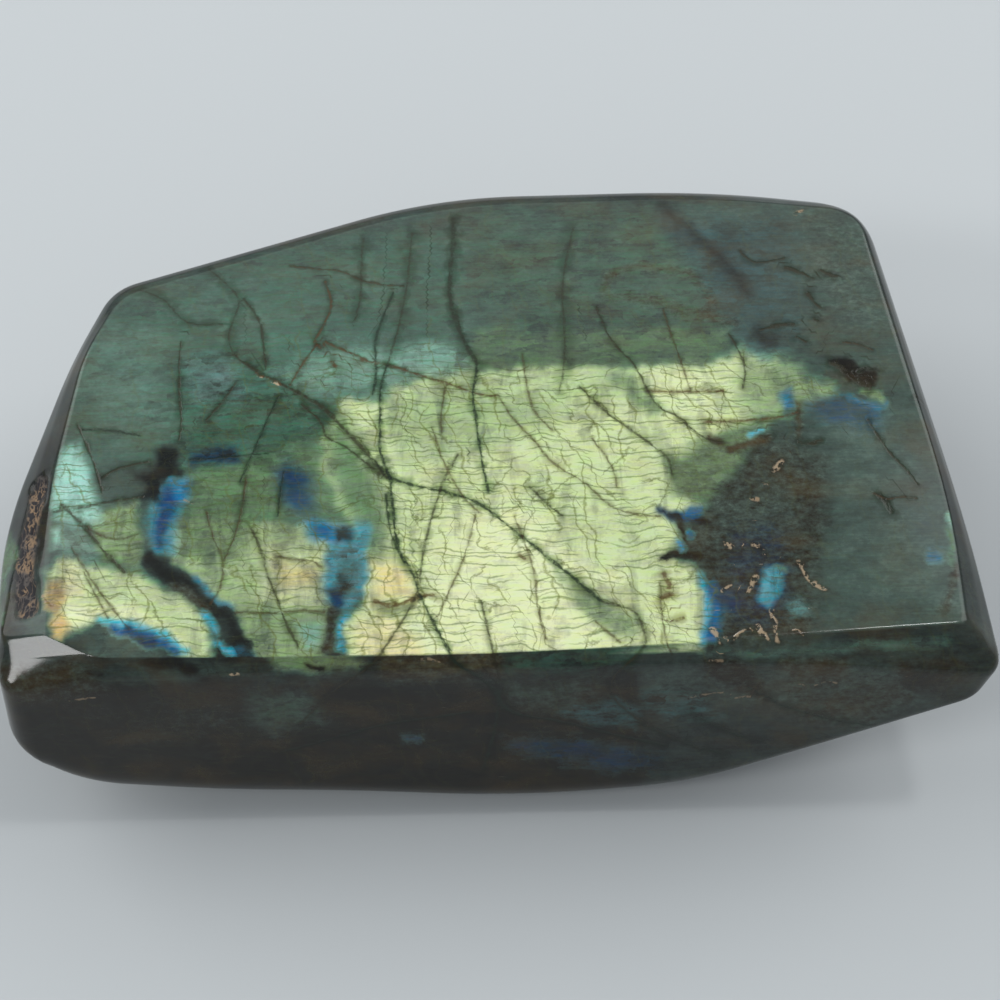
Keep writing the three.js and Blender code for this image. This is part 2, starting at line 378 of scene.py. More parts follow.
# Washes of colour, laid one over the other. hue runs from violet and blue (0) over cyan, green and gold to
# orange (1), glow is how bright the flash is, host how light the rock between is, and warm how brown it is.
# soft is half the width of the wash's edge in pixels. lead is by how many pixels a bright wash's glow reaches
# past its colour, or a dull wash's colour past its glow.
faceWashes = [
    {"name": "face", "hue": 0.5, "glow": 0.12, "host": 0.66, "warm": 0.12, "soft": 10, "outline": [
        (20, 640), (30, 500), (110, 290), (400, 200), (860, 200), (930, 380), (1000, 640)]},
    {"name": "upper left, grey green", "hue": 0.5, "glow": 0.26, "host": 0.7, "soft": 35, "outline": [
        (60, 450), (75, 370), (125, 300), (240, 262), (400, 228), (480, 240), (480, 340), (330, 350),
        (190, 460), (60, 460)]},
    {"name": "upper middle", "hue": 0.52, "glow": 0.22, "host": 0.6, "soft": 35, "outline": [
        (470, 215), (700, 215), (720, 300), (720, 350), (480, 355)]},
    {"name": "far upper left, pale", "hue": 0.48, "glow": 0.24, "host": 0.8, "soft": 22, "outline": [
        (70, 390), (105, 320), (160, 340), (175, 420), (120, 440)]},
    {"name": "upper right, blue grey", "hue": 0.34, "glow": 0.1, "host": 0.6, "soft": 26, "outline": [
        (690, 225), (790, 225), (800, 330), (760, 350), (720, 300)]},
    {"name": "right edge, brownish", "warm": 0.2, "host": 0.7, "soft": 22, "outline": [
        (790, 200), (870, 220), (890, 330), (840, 330), (810, 260)]},
    {"name": "right, grey", "host": 0.74, "glow": 0.1, "hue": 0.46, "soft": 26, "outline": [
        (830, 420), (900, 400), (960, 560), (970, 625), (850, 625), (830, 520)]},
    {"name": "teal field", "hue": 0.5, "glow": 0.36, "host": 0.26, "soft": 24, "outline": [
        (185, 372), (240, 350), (300, 390), (345, 420), (300, 480), (285, 520), (200, 520), (186, 460)]},
    {"name": "teal field, top", "hue": 0.4, "glow": 0.2, "host": 0.44, "soft": 18, "outline": [
        (188, 366), (228, 362), (240, 395), (200, 400)]},
    {"name": "teal field, bright band", "hue": 0.46, "glow": 0.52, "soft": 16, "outline": [
        (270, 372), (340, 345), (470, 350), (474, 374), (400, 385), (340, 400), (300, 395)]},
    {"name": "teal lens", "hue": 0.45, "glow": 0.5, "host": 0.5, "soft": 9, "outline": [
        (391, 352), (420, 340), (456, 346), (470, 362), (470, 385), (430, 377), (392, 366)]},
    {"name": "upper left, light band", "hue": 0.5, "glow": 0.45, "soft": 9, "outline": [
        (262, 344), (300, 326), (320, 330), (318, 348), (280, 360)]},
    {"name": "teal field, lower green", "hue": 0.57, "glow": 0.46, "soft": 16, "outline": [
        (190, 470), (290, 450), (300, 440), (345, 470), (345, 520), (290, 520), (240, 530), (188, 525)]},
    {"name": "teal field, blue streak", "hue": 0.18, "glow": 0.22, "soft": 8, "outline": [
        (192, 450), (236, 446), (240, 460), (192, 464)]},
    {"name": "left field, olive green", "hue": 0.63, "glow": 0.58, "soft": 8, "outline": [
        (90, 512), (136, 500), (142, 545), (138, 570), (104, 560), (86, 535)]},
    {"name": "left field, teal", "hue": 0.44, "glow": 0.3, "host": 0.5, "soft": 8, "outline": [
        (62, 532), (88, 530), (100, 556), (80, 562), (60, 556)]},
    {"name": "left rim, mint", "hue": 0.41, "glow": 0.95, "soft": 9, "outline": [
        (58, 452), (80, 446), (92, 480), (101, 520), (80, 528), (54, 520), (50, 480)]},
    {"name": "left rim, mint end", "hue": 0.42, "glow": 0.62, "soft": 5, "outline": [
        (50, 530), (62, 528), (64, 545), (52, 548)]},
    {"name": "middle left", "hue": 0.68, "glow": 0.66, "soft": 6, "outline": [
        (172, 524), (345, 524), (346, 560), (330, 620), (232, 616), (196, 580), (170, 560)]},
    {"name": "middle left, olive corner", "hue": 0.61, "glow": 0.5, "soft": 12, "outline": [
        (176, 520), (250, 520), (236, 556), (180, 556)]},
    {"name": "middle left, pale", "hue": 0.8, "glow": 0.64, "soft": 16, "outline": [
        (262, 545), (325, 550), (322, 600), (290, 612), (262, 600)]},
    {"name": "middle left, pink", "hue": 0.89, "glow": 0.6, "soft": 12, "outline": [
        (276, 566), (316, 564), (318, 584), (284, 586)]},
    {"name": "below the band", "hue": 0.65, "glow": 0.58, "host": 0.6, "soft": 8, "outline": [
        (236, 608), (330, 612), (326, 690), (262, 690)]},
    {"name": "below the band, pale", "hue": 0.46, "glow": 0.7, "soft": 7, "outline": [
        (296, 626), (322, 622), (322, 644), (306, 648)]},
    {"name": "lower left", "hue": 0.735, "glow": 0.82, "soft": 6, "lead": 3, "outline": [
        (46, 575), (60, 560), (100, 566), (140, 574), (166, 590), (196, 606), (206, 626), (208, 675),
        (180, 655), (140, 622), (100, 616), (76, 626), (56, 640)]},
    {"name": "lower left, cream", "hue": 0.83, "glow": 0.92, "soft": 8, "outline": [
        (66, 606), (130, 602), (160, 624), (186, 642), (150, 628), (104, 614), (80, 628), (64, 628)]},
    {"name": "lower left, upper gold", "hue": 0.86, "glow": 0.66, "soft": 9, "outline": [
        (60, 566), (76, 562), (84, 596), (60, 600)]},
    {"name": "lower left, brown edge", "hue": 0.92, "glow": 0.42, "warm": 0.45, "host": 0.45, "soft": 5,
     "outline": [(48, 580), (60, 578), (66, 602), (56, 618), (46, 610)]},
    {"name": "lower left, orange", "hue": 0.94, "glow": 0.8, "soft": 6, "outline": [
        (48, 622), (62, 616), (70, 628), (62, 640), (50, 638)]},
    {"name": "main flash", "hue": 0.76, "glow": 0.9, "soft": 5, "lead": 3, "outline": [
        (342, 690), (348, 622), (364, 606), (366, 560), (362, 540), (345, 512), (322, 470), (322, 440),
        (344, 404), (380, 400), (396, 386), (440, 380), (472, 371), (520, 369), (640, 370), (704, 368),
        (740, 352), (772, 360), (792, 376), (790, 400), (744, 424), (716, 436), (700, 452), (664, 466),
        (676, 486), (704, 506), (662, 514), (678, 540), (660, 556), (694, 568), (704, 600), (702, 680)]},
    {"name": "main flash, green left", "hue": 0.58, "glow": 0.54, "soft": 18, "outline": [
        (322, 436), (340, 410), (352, 430), (380, 480), (392, 520), (380, 560), (366, 560), (345, 512),
        (322, 470)]},
    {"name": "main flash, green upper left", "hue": 0.69, "glow": 0.72, "soft": 22, "outline": [
        (380, 400), (470, 372), (560, 368), (560, 420), (470, 450), (400, 460)]},
    {"name": "main flash, top", "hue": 0.71, "glow": 0.86, "soft": 12, "outline": [
        (500, 372), (600, 368), (700, 372), (700, 396), (600, 400), (500, 396)]},
    {"name": "above the flash", "hue": 0.58, "glow": 0.26, "host": 0.62, "soft": 6, "outline": [
        (474, 330), (728, 328), (728, 350), (704, 364), (600, 366), (474, 367)]},
    {"name": "main flash, bright top right", "hue": 0.8, "glow": 0.94, "soft": 14, "outline": [
        (645, 372), (710, 368), (716, 410), (690, 412), (650, 396)]},
    {"name": "main flash, olive slant", "hue": 0.64, "glow": 0.58, "soft": 7, "outline": [
        (606, 374), (622, 372), (650, 396), (664, 410), (654, 416), (628, 398)]},
    {"name": "main flash, brightest", "hue": 0.82, "glow": 0.97, "soft": 30, "outline": [
        (400, 690), (420, 590), (456, 520), (520, 500), (590, 550), (620, 580), (590, 600), (640, 690)]},
    {"name": "main flash, right part", "hue": 0.77, "glow": 0.95, "soft": 16, "outline": [
        (640, 590), (696, 576), (700, 680), (650, 680)]},
    {"name": "main flash, fading right", "hue": 0.67, "glow": 0.6, "soft": 16, "outline": [
        (744, 350), (800, 366), (800, 402), (752, 426), (736, 400)]},
    {"name": "main flash, cool part", "hue": 0.75, "glow": 0.9, "soft": 20, "outline": [
        (540, 470), (660, 500), (676, 540), (650, 570), (590, 560), (530, 500)]},
    {"name": "main flash, gold foot", "hue": 0.87, "glow": 0.92, "soft": 10, "outline": [
        (352, 680), (360, 622), (392, 612), (420, 640), (424, 680)]},
    {"name": "main flash, peach", "hue": 0.89, "glow": 0.88, "soft": 14, "outline": [
        (372, 560), (406, 566), (414, 596), (376, 598)]},
    {"name": "main flash, lower left olive", "hue": 0.72, "glow": 0.62, "soft": 5, "outline": [
        (376, 606), (408, 608), (398, 620), (384, 618)]},
    {"name": "under the diagonal, dull", "hue": 0.68, "glow": 0.5, "host": 0.6, "soft": 8, "outline": [
        (556, 570), (580, 580), (612, 604), (640, 620), (632, 640), (600, 626), (576, 606)]},
    {"name": "olive patch", "hue": 0.8, "glow": 0.55, "warm": 0.55, "soft": 4, "outline": [
        (592, 582), (614, 590), (628, 582), (638, 594), (634, 612), (610, 600)]},
    {"name": "arm to the right", "hue": 0.64, "glow": 0.62, "soft": 6, "lead": 3, "outline": [
        (775, 366), (800, 376), (832, 386), (838, 396), (816, 402), (790, 412), (760, 426), (776, 392)]},
    {"name": "arm, blue flecks", "hue": 0.27, "glow": 0.55, "soft": 5, "outline": [
        (776, 392), (792, 388), (796, 410), (782, 414)]},
    {"name": "arm, brown upright", "warm": 0.65, "glow": 0.12, "host": 0.5, "soft": 4, "outline": [
        (794, 400), (804, 400), (803, 438), (796, 438)]},
    {"name": "blue tail", "hue": 0.2, "glow": 0.24, "soft": 13, "outline": [
        (806, 404), (840, 396), (870, 402), (884, 412), (880, 436), (850, 434), (820, 420)]},
    {"name": "tail, bright end", "hue": 0.27, "glow": 0.6, "soft": 5, "width": 5, "line": [
        (852, 398), (868, 404), (880, 408), (888, 402)]},
    {"name": "tip of the tail", "hue": 0.62, "glow": 0.66, "soft": 4, "width": 9, "line": [
        (866, 390), (880, 395)]},
    {"name": "dark matrix, right", "glow": 0.0, "host": 0.0, "warm": 0.1, "soft": 3, "outline": [
        (832, 361), (850, 357), (860, 366), (877, 370), (871, 386), (860, 377), (848, 384), (843, 372)]},
    {"name": "left stripe, pale rim", "hue": 0.33, "glow": 0.42, "soft": 7, "outline": [
        (163, 486), (174, 478), (190, 479), (186, 500), (176, 522), (174, 552), (152, 556), (146, 520),
        (150, 498)]},
    {"name": "left stripe", "hue": 0.17, "glow": 0.62, "host": 0.15, "soft": 6, "outline": [
        (166, 488), (182, 484), (178, 505), (169, 524), (165, 548), (156, 550), (154, 522), (157, 500)]},
    {"name": "left stripe, bright", "hue": 0.26, "glow": 0.8, "soft": 5, "outline": [
        (172, 482), (187, 480), (183, 496), (173, 498)]},
    {"name": "left stripe, dark top", "glow": 0.0, "host": 0.2, "warm": 0.0, "soft": 7, "outline": [
        (158, 446), (174, 450), (180, 470), (186, 474), (174, 480), (164, 486), (160, 500), (142, 498),
        (146, 484), (134, 476), (156, 470)]},
    {"name": "left band, blue edge", "hue": 0.31, "glow": 0.5, "soft": 4, "width": 8, "line": [
        (194, 582), (210, 594), (228, 608)]},
    {"name": "left band", "glow": 0.0, "host": 0.22, "warm": 0.1, "soft": 7, "width": 16, "line": [
        (150, 560), (164, 570), (184, 586), (202, 600), (222, 612), (236, 632), (246, 648)]},
    {"name": "left band, brown side", "glow": 0.06, "host": 0.45, "warm": 0.5, "soft": 6, "width": 8,
     "line": [(172, 588), (190, 600), (206, 608)]},
    {"name": "left band, blue spot", "hue": 0.31, "glow": 0.78, "soft": 4, "width": 9, "line": [
        (205, 616), (214, 622), (216, 630)]},
    {"name": "left band, lower blue spot", "hue": 0.31, "glow": 0.86, "soft": 4, "width": 7, "line": [
        (214, 644), (226, 648), (234, 652)]},
    {"name": "left band, foot", "hue": 0.3, "glow": 0.16, "host": 0.3, "soft": 6, "width": 14, "line": [
        (240, 648), (250, 662)]},
    {"name": "diffuse blue", "hue": 0.18, "glow": 0.34, "soft": 13, "outline": [
        (276, 470), (292, 462), (308, 476), (314, 506), (300, 512), (282, 500)]},
    {"name": "bright blue", "hue": 0.27, "glow": 0.74, "soft": 6, "outline": [
        (300, 524), (312, 518), (336, 524), (352, 530), (350, 544), (330, 546), (310, 540)]},
    {"name": "bright blue, core", "hue": 0.19, "glow": 0.85, "soft": 4, "outline": [
        (312, 528), (330, 528), (332, 538), (316, 538)]},
    {"name": "bright blue, dark knot", "glow": 0.1, "host": 0.36, "soft": 4, "outline": [
        (334, 528), (350, 526), (352, 541), (337, 543)]},
    {"name": "right of the knot, pale", "hue": 0.34, "glow": 0.4, "soft": 7, "outline": [
        (354, 522), (368, 526), (366, 548), (354, 544)]},
    {"name": "blue upright, pale rim", "hue": 0.32, "glow": 0.44, "soft": 6, "outline": [
        (328, 546), (360, 542), (368, 562), (364, 592), (346, 612), (324, 604), (324, 576)]},
    {"name": "blue upright", "hue": 0.36, "glow": 0.2, "host": 0.55, "soft": 7, "outline": [
        (340, 552), (356, 550), (361, 566), (357, 590), (344, 604), (332, 600), (333, 574)]},
    {"name": "blue upright, lower part", "hue": 0.16, "glow": 0.32, "host": 0.12, "soft": 5, "outline": [
        (326, 588), (342, 586), (344, 606), (330, 612)]},
    {"name": "blue upright, dark specks", "glow": 0.12, "host": 0.3, "soft": 4, "width": 6, "line": [
        (338, 574), (344, 580), (340, 590)]},
    {"name": "middle matrix", "glow": 0.08, "host": 0.4, "warm": 0.3, "soft": 5, "outline": [
        (324, 606), (340, 610), (336, 632), (334, 652), (322, 652), (324, 630)]},
    {"name": "middle matrix, bright edge", "hue": 0.3, "glow": 0.92, "soft": 4, "width": 7, "line": [
        (344, 620), (340, 634), (338, 650)]},
    {"name": "lower left, grey", "hue": 0.45, "glow": 0.12, "host": 0.62, "soft": 6, "outline": [
        (90, 640), (98, 626), (116, 626), (140, 636), (160, 652), (170, 662), (70, 664)]},
    {"name": "lower left, pale rim", "hue": 0.34, "glow": 0.95, "soft": 4, "width": 8, "line": [
        (100, 621), (124, 623), (145, 627), (166, 637), (188, 652)]},
    {"name": "lower left, blue rim", "hue": 0.2, "glow": 0.78, "host": 0.1, "soft": 5, "width": 9, "line": [
        (114, 629), (130, 631), (148, 636), (164, 644), (178, 654)]},
    {"name": "lower left, violet heart", "hue": 0.1, "glow": 0.5, "host": 0.1, "soft": 4, "width": 8,
     "line": [(140, 640), (152, 643)]},
    {"name": "right of the flash", "glow": 0.05, "host": 0.5, "warm": 0.26, "soft": 14, "lead": 3,
     "outline": [
        (722, 446), (760, 440), (790, 440), (822, 460), (824, 520), (816, 570), (806, 650), (704, 650),
        (708, 590), (700, 566), (672, 556), (684, 540), (706, 510), (684, 490), (700, 462)]},
    {"name": "right of the flash, olive", "hue": 0.62, "glow": 0.32, "warm": 0.3, "host": 0.55, "soft": 12,
     "outline": [(664, 462), (704, 438), (744, 424), (760, 438), (730, 480), (706, 504), (672, 494)]},
    {"name": "right of the flash, navy", "hue": 0.16, "glow": 0.16, "host": 0.4, "soft": 22, "outline": [
        (720, 520), (790, 510), (800, 560), (790, 636), (724, 640), (716, 580)]},
    {"name": "right rim of the flash", "hue": 0.31, "glow": 0.86, "soft": 4, "width": 8, "line": [
        (700, 578), (707, 596), (706, 616), (703, 644)]},
    {"name": "right rim, blue", "hue": 0.21, "glow": 0.78, "soft": 5, "width": 11, "line": [
        (713, 590), (717, 612), (711, 638)]},
    {"name": "right rim, violet", "hue": 0.12, "glow": 0.48, "soft": 8, "width": 14, "line": [
        (724, 598), (732, 606)]},
    {"name": "teal spot", "hue": 0.34, "glow": 0.52, "soft": 5, "outline": [
        (762, 570), (778, 566), (780, 590), (770, 608), (760, 604)]},
    {"name": "teal spot, green top", "hue": 0.48, "glow": 0.5, "soft": 4, "width": 7, "line": [
        (775, 568), (783, 571)]},
    {"name": "teal streaks", "hue": 0.38, "glow": 0.26, "soft": 8, "outline": [
        (786, 598), (806, 596), (810, 616), (792, 620)]},
    {"name": "dark tooth, upper", "hue": 0.23, "glow": 0.12, "host": 0.2, "soft": 4, "width": 8, "line": [
        (662, 512), (680, 516), (704, 520)]},
    {"name": "dark tooth, blue end", "hue": 0.24, "glow": 0.62, "soft": 4, "width": 8, "line": [
        (684, 514), (702, 510)]},
    {"name": "dark tooth, middle", "glow": 0.06, "host": 0.14, "soft": 3, "width": 6, "line": [
        (677, 522), (684, 534), (682, 544)]},
    {"name": "dark tooth, lower", "glow": 0.06, "host": 0.18, "soft": 4, "width": 9, "line": [
        (660, 558), (678, 555), (700, 556)]},
    {"name": "bright blue drops", "hue": 0.28, "glow": 0.86, "soft": 3, "width": 8, "line": [
        (678, 543), (684, 548)]},
    {"name": "bright blue drop, small", "hue": 0.27, "glow": 0.7, "soft": 3, "width": 5, "line": [
        (687, 531), (690, 534)]},
    {"name": "violet haze", "hue": 0.08, "glow": 0.14, "soft": 20, "outline": [
        (906, 512), (938, 508), (942, 545), (914, 548)]},
    {"name": "blue spot by the right rim", "hue": 0.23, "glow": 0.5, "soft": 6, "width": 10, "line": [
        (930, 555), (938, 556)]},
    {"name": "right rim, mint chip", "hue": 0.44, "glow": 0.75, "soft": 3, "width": 7, "line": [
        (950, 517), (955, 523)]},
    {"name": "right rim, green", "hue": 0.54, "glow": 0.34, "soft": 5, "width": 9, "line": [
        (950, 530), (956, 545), (952, 560)]},
    {"name": "right rim, brown", "warm": 0.5, "host": 0.45, "soft": 5, "width": 7, "line": [
        (956, 566), (951, 586), (946, 612)]},
    {"name": "arch, upper", "warm": 0.55, "host": 0.42, "soft": 5, "width": 7, "line": [
        (600, 292), (606, 276), (622, 267), (660, 268), (690, 276), (708, 290), (712, 302)]},
    {"name": "arch, lower", "warm": 0.55, "host": 0.42, "soft": 6, "width": 9, "line": [
        (604, 297), (650, 299), (688, 312), (714, 318), (734, 324)]},
    {"name": "soft slant", "glow": 0.06, "host": 0.34, "soft": 7, "width": 9, "line": [
        (661, 206), (682, 222), (710, 246), (729, 265), (750, 294)]},
    {"name": "upper right, blue by the slant", "hue": 0.16, "glow": 0.12, "soft": 14, "width": 12, "line": [
        (664, 218), (690, 240)]},
    {"name": "purple bit", "hue": 0.04, "glow": 0.1, "host": 0.3, "soft": 8, "width": 12, "line": [
        (760, 330), (768, 338)]},
    {"name": "orange band", "warm": 1.0, "host": 0.5, "glow": 0.0, "soft": 4, "width": 8, "line": [
        (731, 446), (750, 444), (766, 440)]},
    {"name": "blue speck", "hue": 0.33, "glow": 0.95, "soft": 3, "width": 6, "line": [
        (750, 435), (759, 431)]},
    {"name": "red brown specks", "warm": 0.8, "host": 0.25, "glow": 0.1, "soft": 4, "width": 7, "line": [
        (710, 436), (722, 441)]},
]
sideWashes = [  # of the bevels and the foot
    {"name": "front bevel, left", "hue": 0.46, "glow": 0.1, "host": 0.4, "soft": 5, "outline": [
        (70, 660), (236, 662), (364, 662), (362, 680), (236, 682), (70, 686)]},
    {"name": "front bevel, foot of the flash", "hue": 0.62, "glow": 0.42, "soft": 6, "outline": [
        (268, 652), (340, 652), (370, 664), (340, 672), (280, 672)]},
    {"name": "front bevel, dark specks", "glow": 0.0, "host": 0.02, "soft": 4, "width": 9, "line": [
        (146, 660), (160, 666), (176, 664), (192, 672)]},
    {"name": "front bevel, small dark specks", "glow": 0.0, "host": 0.0, "soft": 3, "width": 4, "line": [
        (308, 664), (322, 667)]},
    {"name": "front bevel, gold flash", "hue": 0.86, "glow": 0.1, "host": 0.24, "warm": 0.5, "soft": 8,
     "outline": [(376, 656), (500, 650), (500, 672), (420, 682), (380, 676)]},
    {"name": "front bevel, green", "hue": 0.5, "glow": 0.18, "host": 0.26, "soft": 8, "outline": [
        (500, 650), (640, 640), (636, 668), (560, 676), (505, 672)]},
    {"name": "front bevel, right green", "hue": 0.48, "glow": 0.2, "host": 0.5, "soft": 8, "outline": [
        (700, 645), (950, 635), (950, 650), (700, 660)]},
    # partly painted shade: the foot's rock is made near black, darker at its left than at its right, for the
    # shade and dark reflections it shows; the rock is dark there as well
    {"name": "foot", "hue": 0.45, "glow": 0.02, "host": 0.02, "warm": 0.16, "soft": 8, "outline": [
        (0, 690), (120, 688), (240, 684), (420, 686), (560, 678), (640, 670), (640, 800), (0, 830)]},
    {"name": "foot, top left", "warm": 0.35, "host": 0.34, "soft": 10, "outline": [
        (0, 662), (80, 664), (110, 690), (30, 704), (0, 690)]},
    {"name": "foot, green left", "hue": 0.52, "glow": 0.16, "host": 0.5, "warm": 0.2, "soft": 16,
     "outline": [(246, 694), (310, 690), (330, 720), (280, 735), (246, 725)]},
    {"name": "foot, left, lighter", "hue": 0.5, "glow": 0.05, "host": 0.2, "warm": 0.2, "soft": 22,
     "outline": [(60, 706), (230, 700), (250, 742), (120, 748)]},
    {"name": "foot, right of the middle, green", "hue": 0.52, "glow": 0.12, "host": 0.4, "warm": 0.25,
     "soft": 12, "outline": [(504, 684), (610, 676), (600, 694), (540, 716), (512, 708)]},
    {"name": "foot, right", "hue": 0.45, "glow": 0.1, "host": 0.56, "warm": 0.2, "soft": 18, "outline": [
        (640, 672), (720, 664), (960, 658), (980, 680), (900, 716), (860, 728), (700, 700), (650, 700)]},
    {"name": "foot, right dark", "host": 0.2, "glow": 0.03, "soft": 14, "outline": [
        (900, 668), (960, 662), (975, 680), (930, 694), (905, 688)]},
    {"name": "foot, olive", "warm": 0.6, "host": 0.42, "soft": 8, "outline": [
        (782, 664), (846, 662), (850, 680), (800, 688)]},
    {"name": "foot, purple brown", "warm": 0.35, "host": 0.2, "glow": 0.0, "soft": 9, "outline": [
        (704, 660), (745, 664), (770, 700), (745, 690), (710, 676)]},
    {"name": "foot, lower right", "warm": 0.4, "host": 0.4, "soft": 14, "outline": [
        (800, 690), (900, 680), (910, 700), (860, 722), (800, 714)]},
    {"name": "foot, teal right", "hue": 0.38, "glow": 0.16, "host": 0.24, "soft": 12, "outline": [
        (640, 690), (704, 694), (730, 720), (690, 724), (640, 716)]},
    {"name": "foot, teal lens", "hue": 0.37, "glow": 0.17, "host": 0.12, "soft": 6, "outline": [
        (554, 712), (575, 700), (620, 698), (643, 714), (636, 730), (590, 728)]},
    {"name": "foot, blue haze", "hue": 0.16, "glow": 0.24, "host": 0.1, "soft": 14, "outline": [
        (503, 738), (560, 734), (664, 752), (664, 772), (600, 772), (510, 756)]},
    {"name": "foot, blue spot", "hue": 0.18, "glow": 0.36, "soft": 6, "width": 8, "line": [
        (404, 738), (422, 739)]},
    {"name": "left bevel", "glow": 0.02, "host": 0.34, "soft": 6, "outline": [
        (-20, 640), (-20, 520), (60, 330), (80, 330), (52, 470), (48, 560), (40, 632)]},
    {"name": "left bevel, dark", "glow": 0.0, "host": 0.04, "soft": 6, "outline": [
        (16, 600), (20, 520), (46, 440), (50, 560), (44, 620), (30, 632)]},
    {"name": "left bevel, green", "hue": 0.56, "glow": 0.36, "host": 0.3, "soft": 6, "outline": [
        (-12, 556), (12, 530), (18, 550), (6, 590), (6, 626), (-12, 630)]},
]
plainStone = {"hue": 0.5, "glow": 0.06, "host": 0.36, "warm": 0.1}  # where no wash lies
washEdges = [{"by": 5.0, "over": 26.0}, {"by": 3.5, "over": 9.0}]  # they wander by so much over so much
wanderSeed = 3  # without a seed the noise starts elsewhere at each run
brightWash = 0.3  # the glow from which a wash counts as bright


def wandering(pixels):
    noise.seed_set(wanderSeed)
    moved = pixels.copy()
    for edge in washEdges:
        for i, (across, down) in enumerate(pixels):
            shift = noise.noise_vector((across / edge["over"], down / edge["over"], edge["over"]))
            moved[i] += (shift[0] * edge["by"], shift[1] * edge["by"])
    return moved


def washField(pixels, washes):
    values = {name: np.tile(value, (len(pixels), 1)) for name, value in plainStone.items()}
    values["flash"] = np.tile(flashColour(plainStone["hue"]), (len(pixels), 1))
    for wash in washes:
        if "outline" in wash:
            inside = insideBy(pixels, wash["outline"])
        else:
            inside = wash["width"] / 2 - toLine(pixels, np.array(wash["line"], dtype=float))[1]
        bright = wash.get("glow", 0.0) > brightWash
        for name, value in values.items():
            given = wash.get("hue" if name == "flash" else name)
            if given is None:
                continue
            early = wash.get("lead", 0.0) if (name == "glow") == bright else 0.0
            cover = smoothStep(inside + early, -wash["soft"], wash["soft"])[:, None]
            value += cover * ((flashColour(given) if name == "flash" else given) - value)
    return values


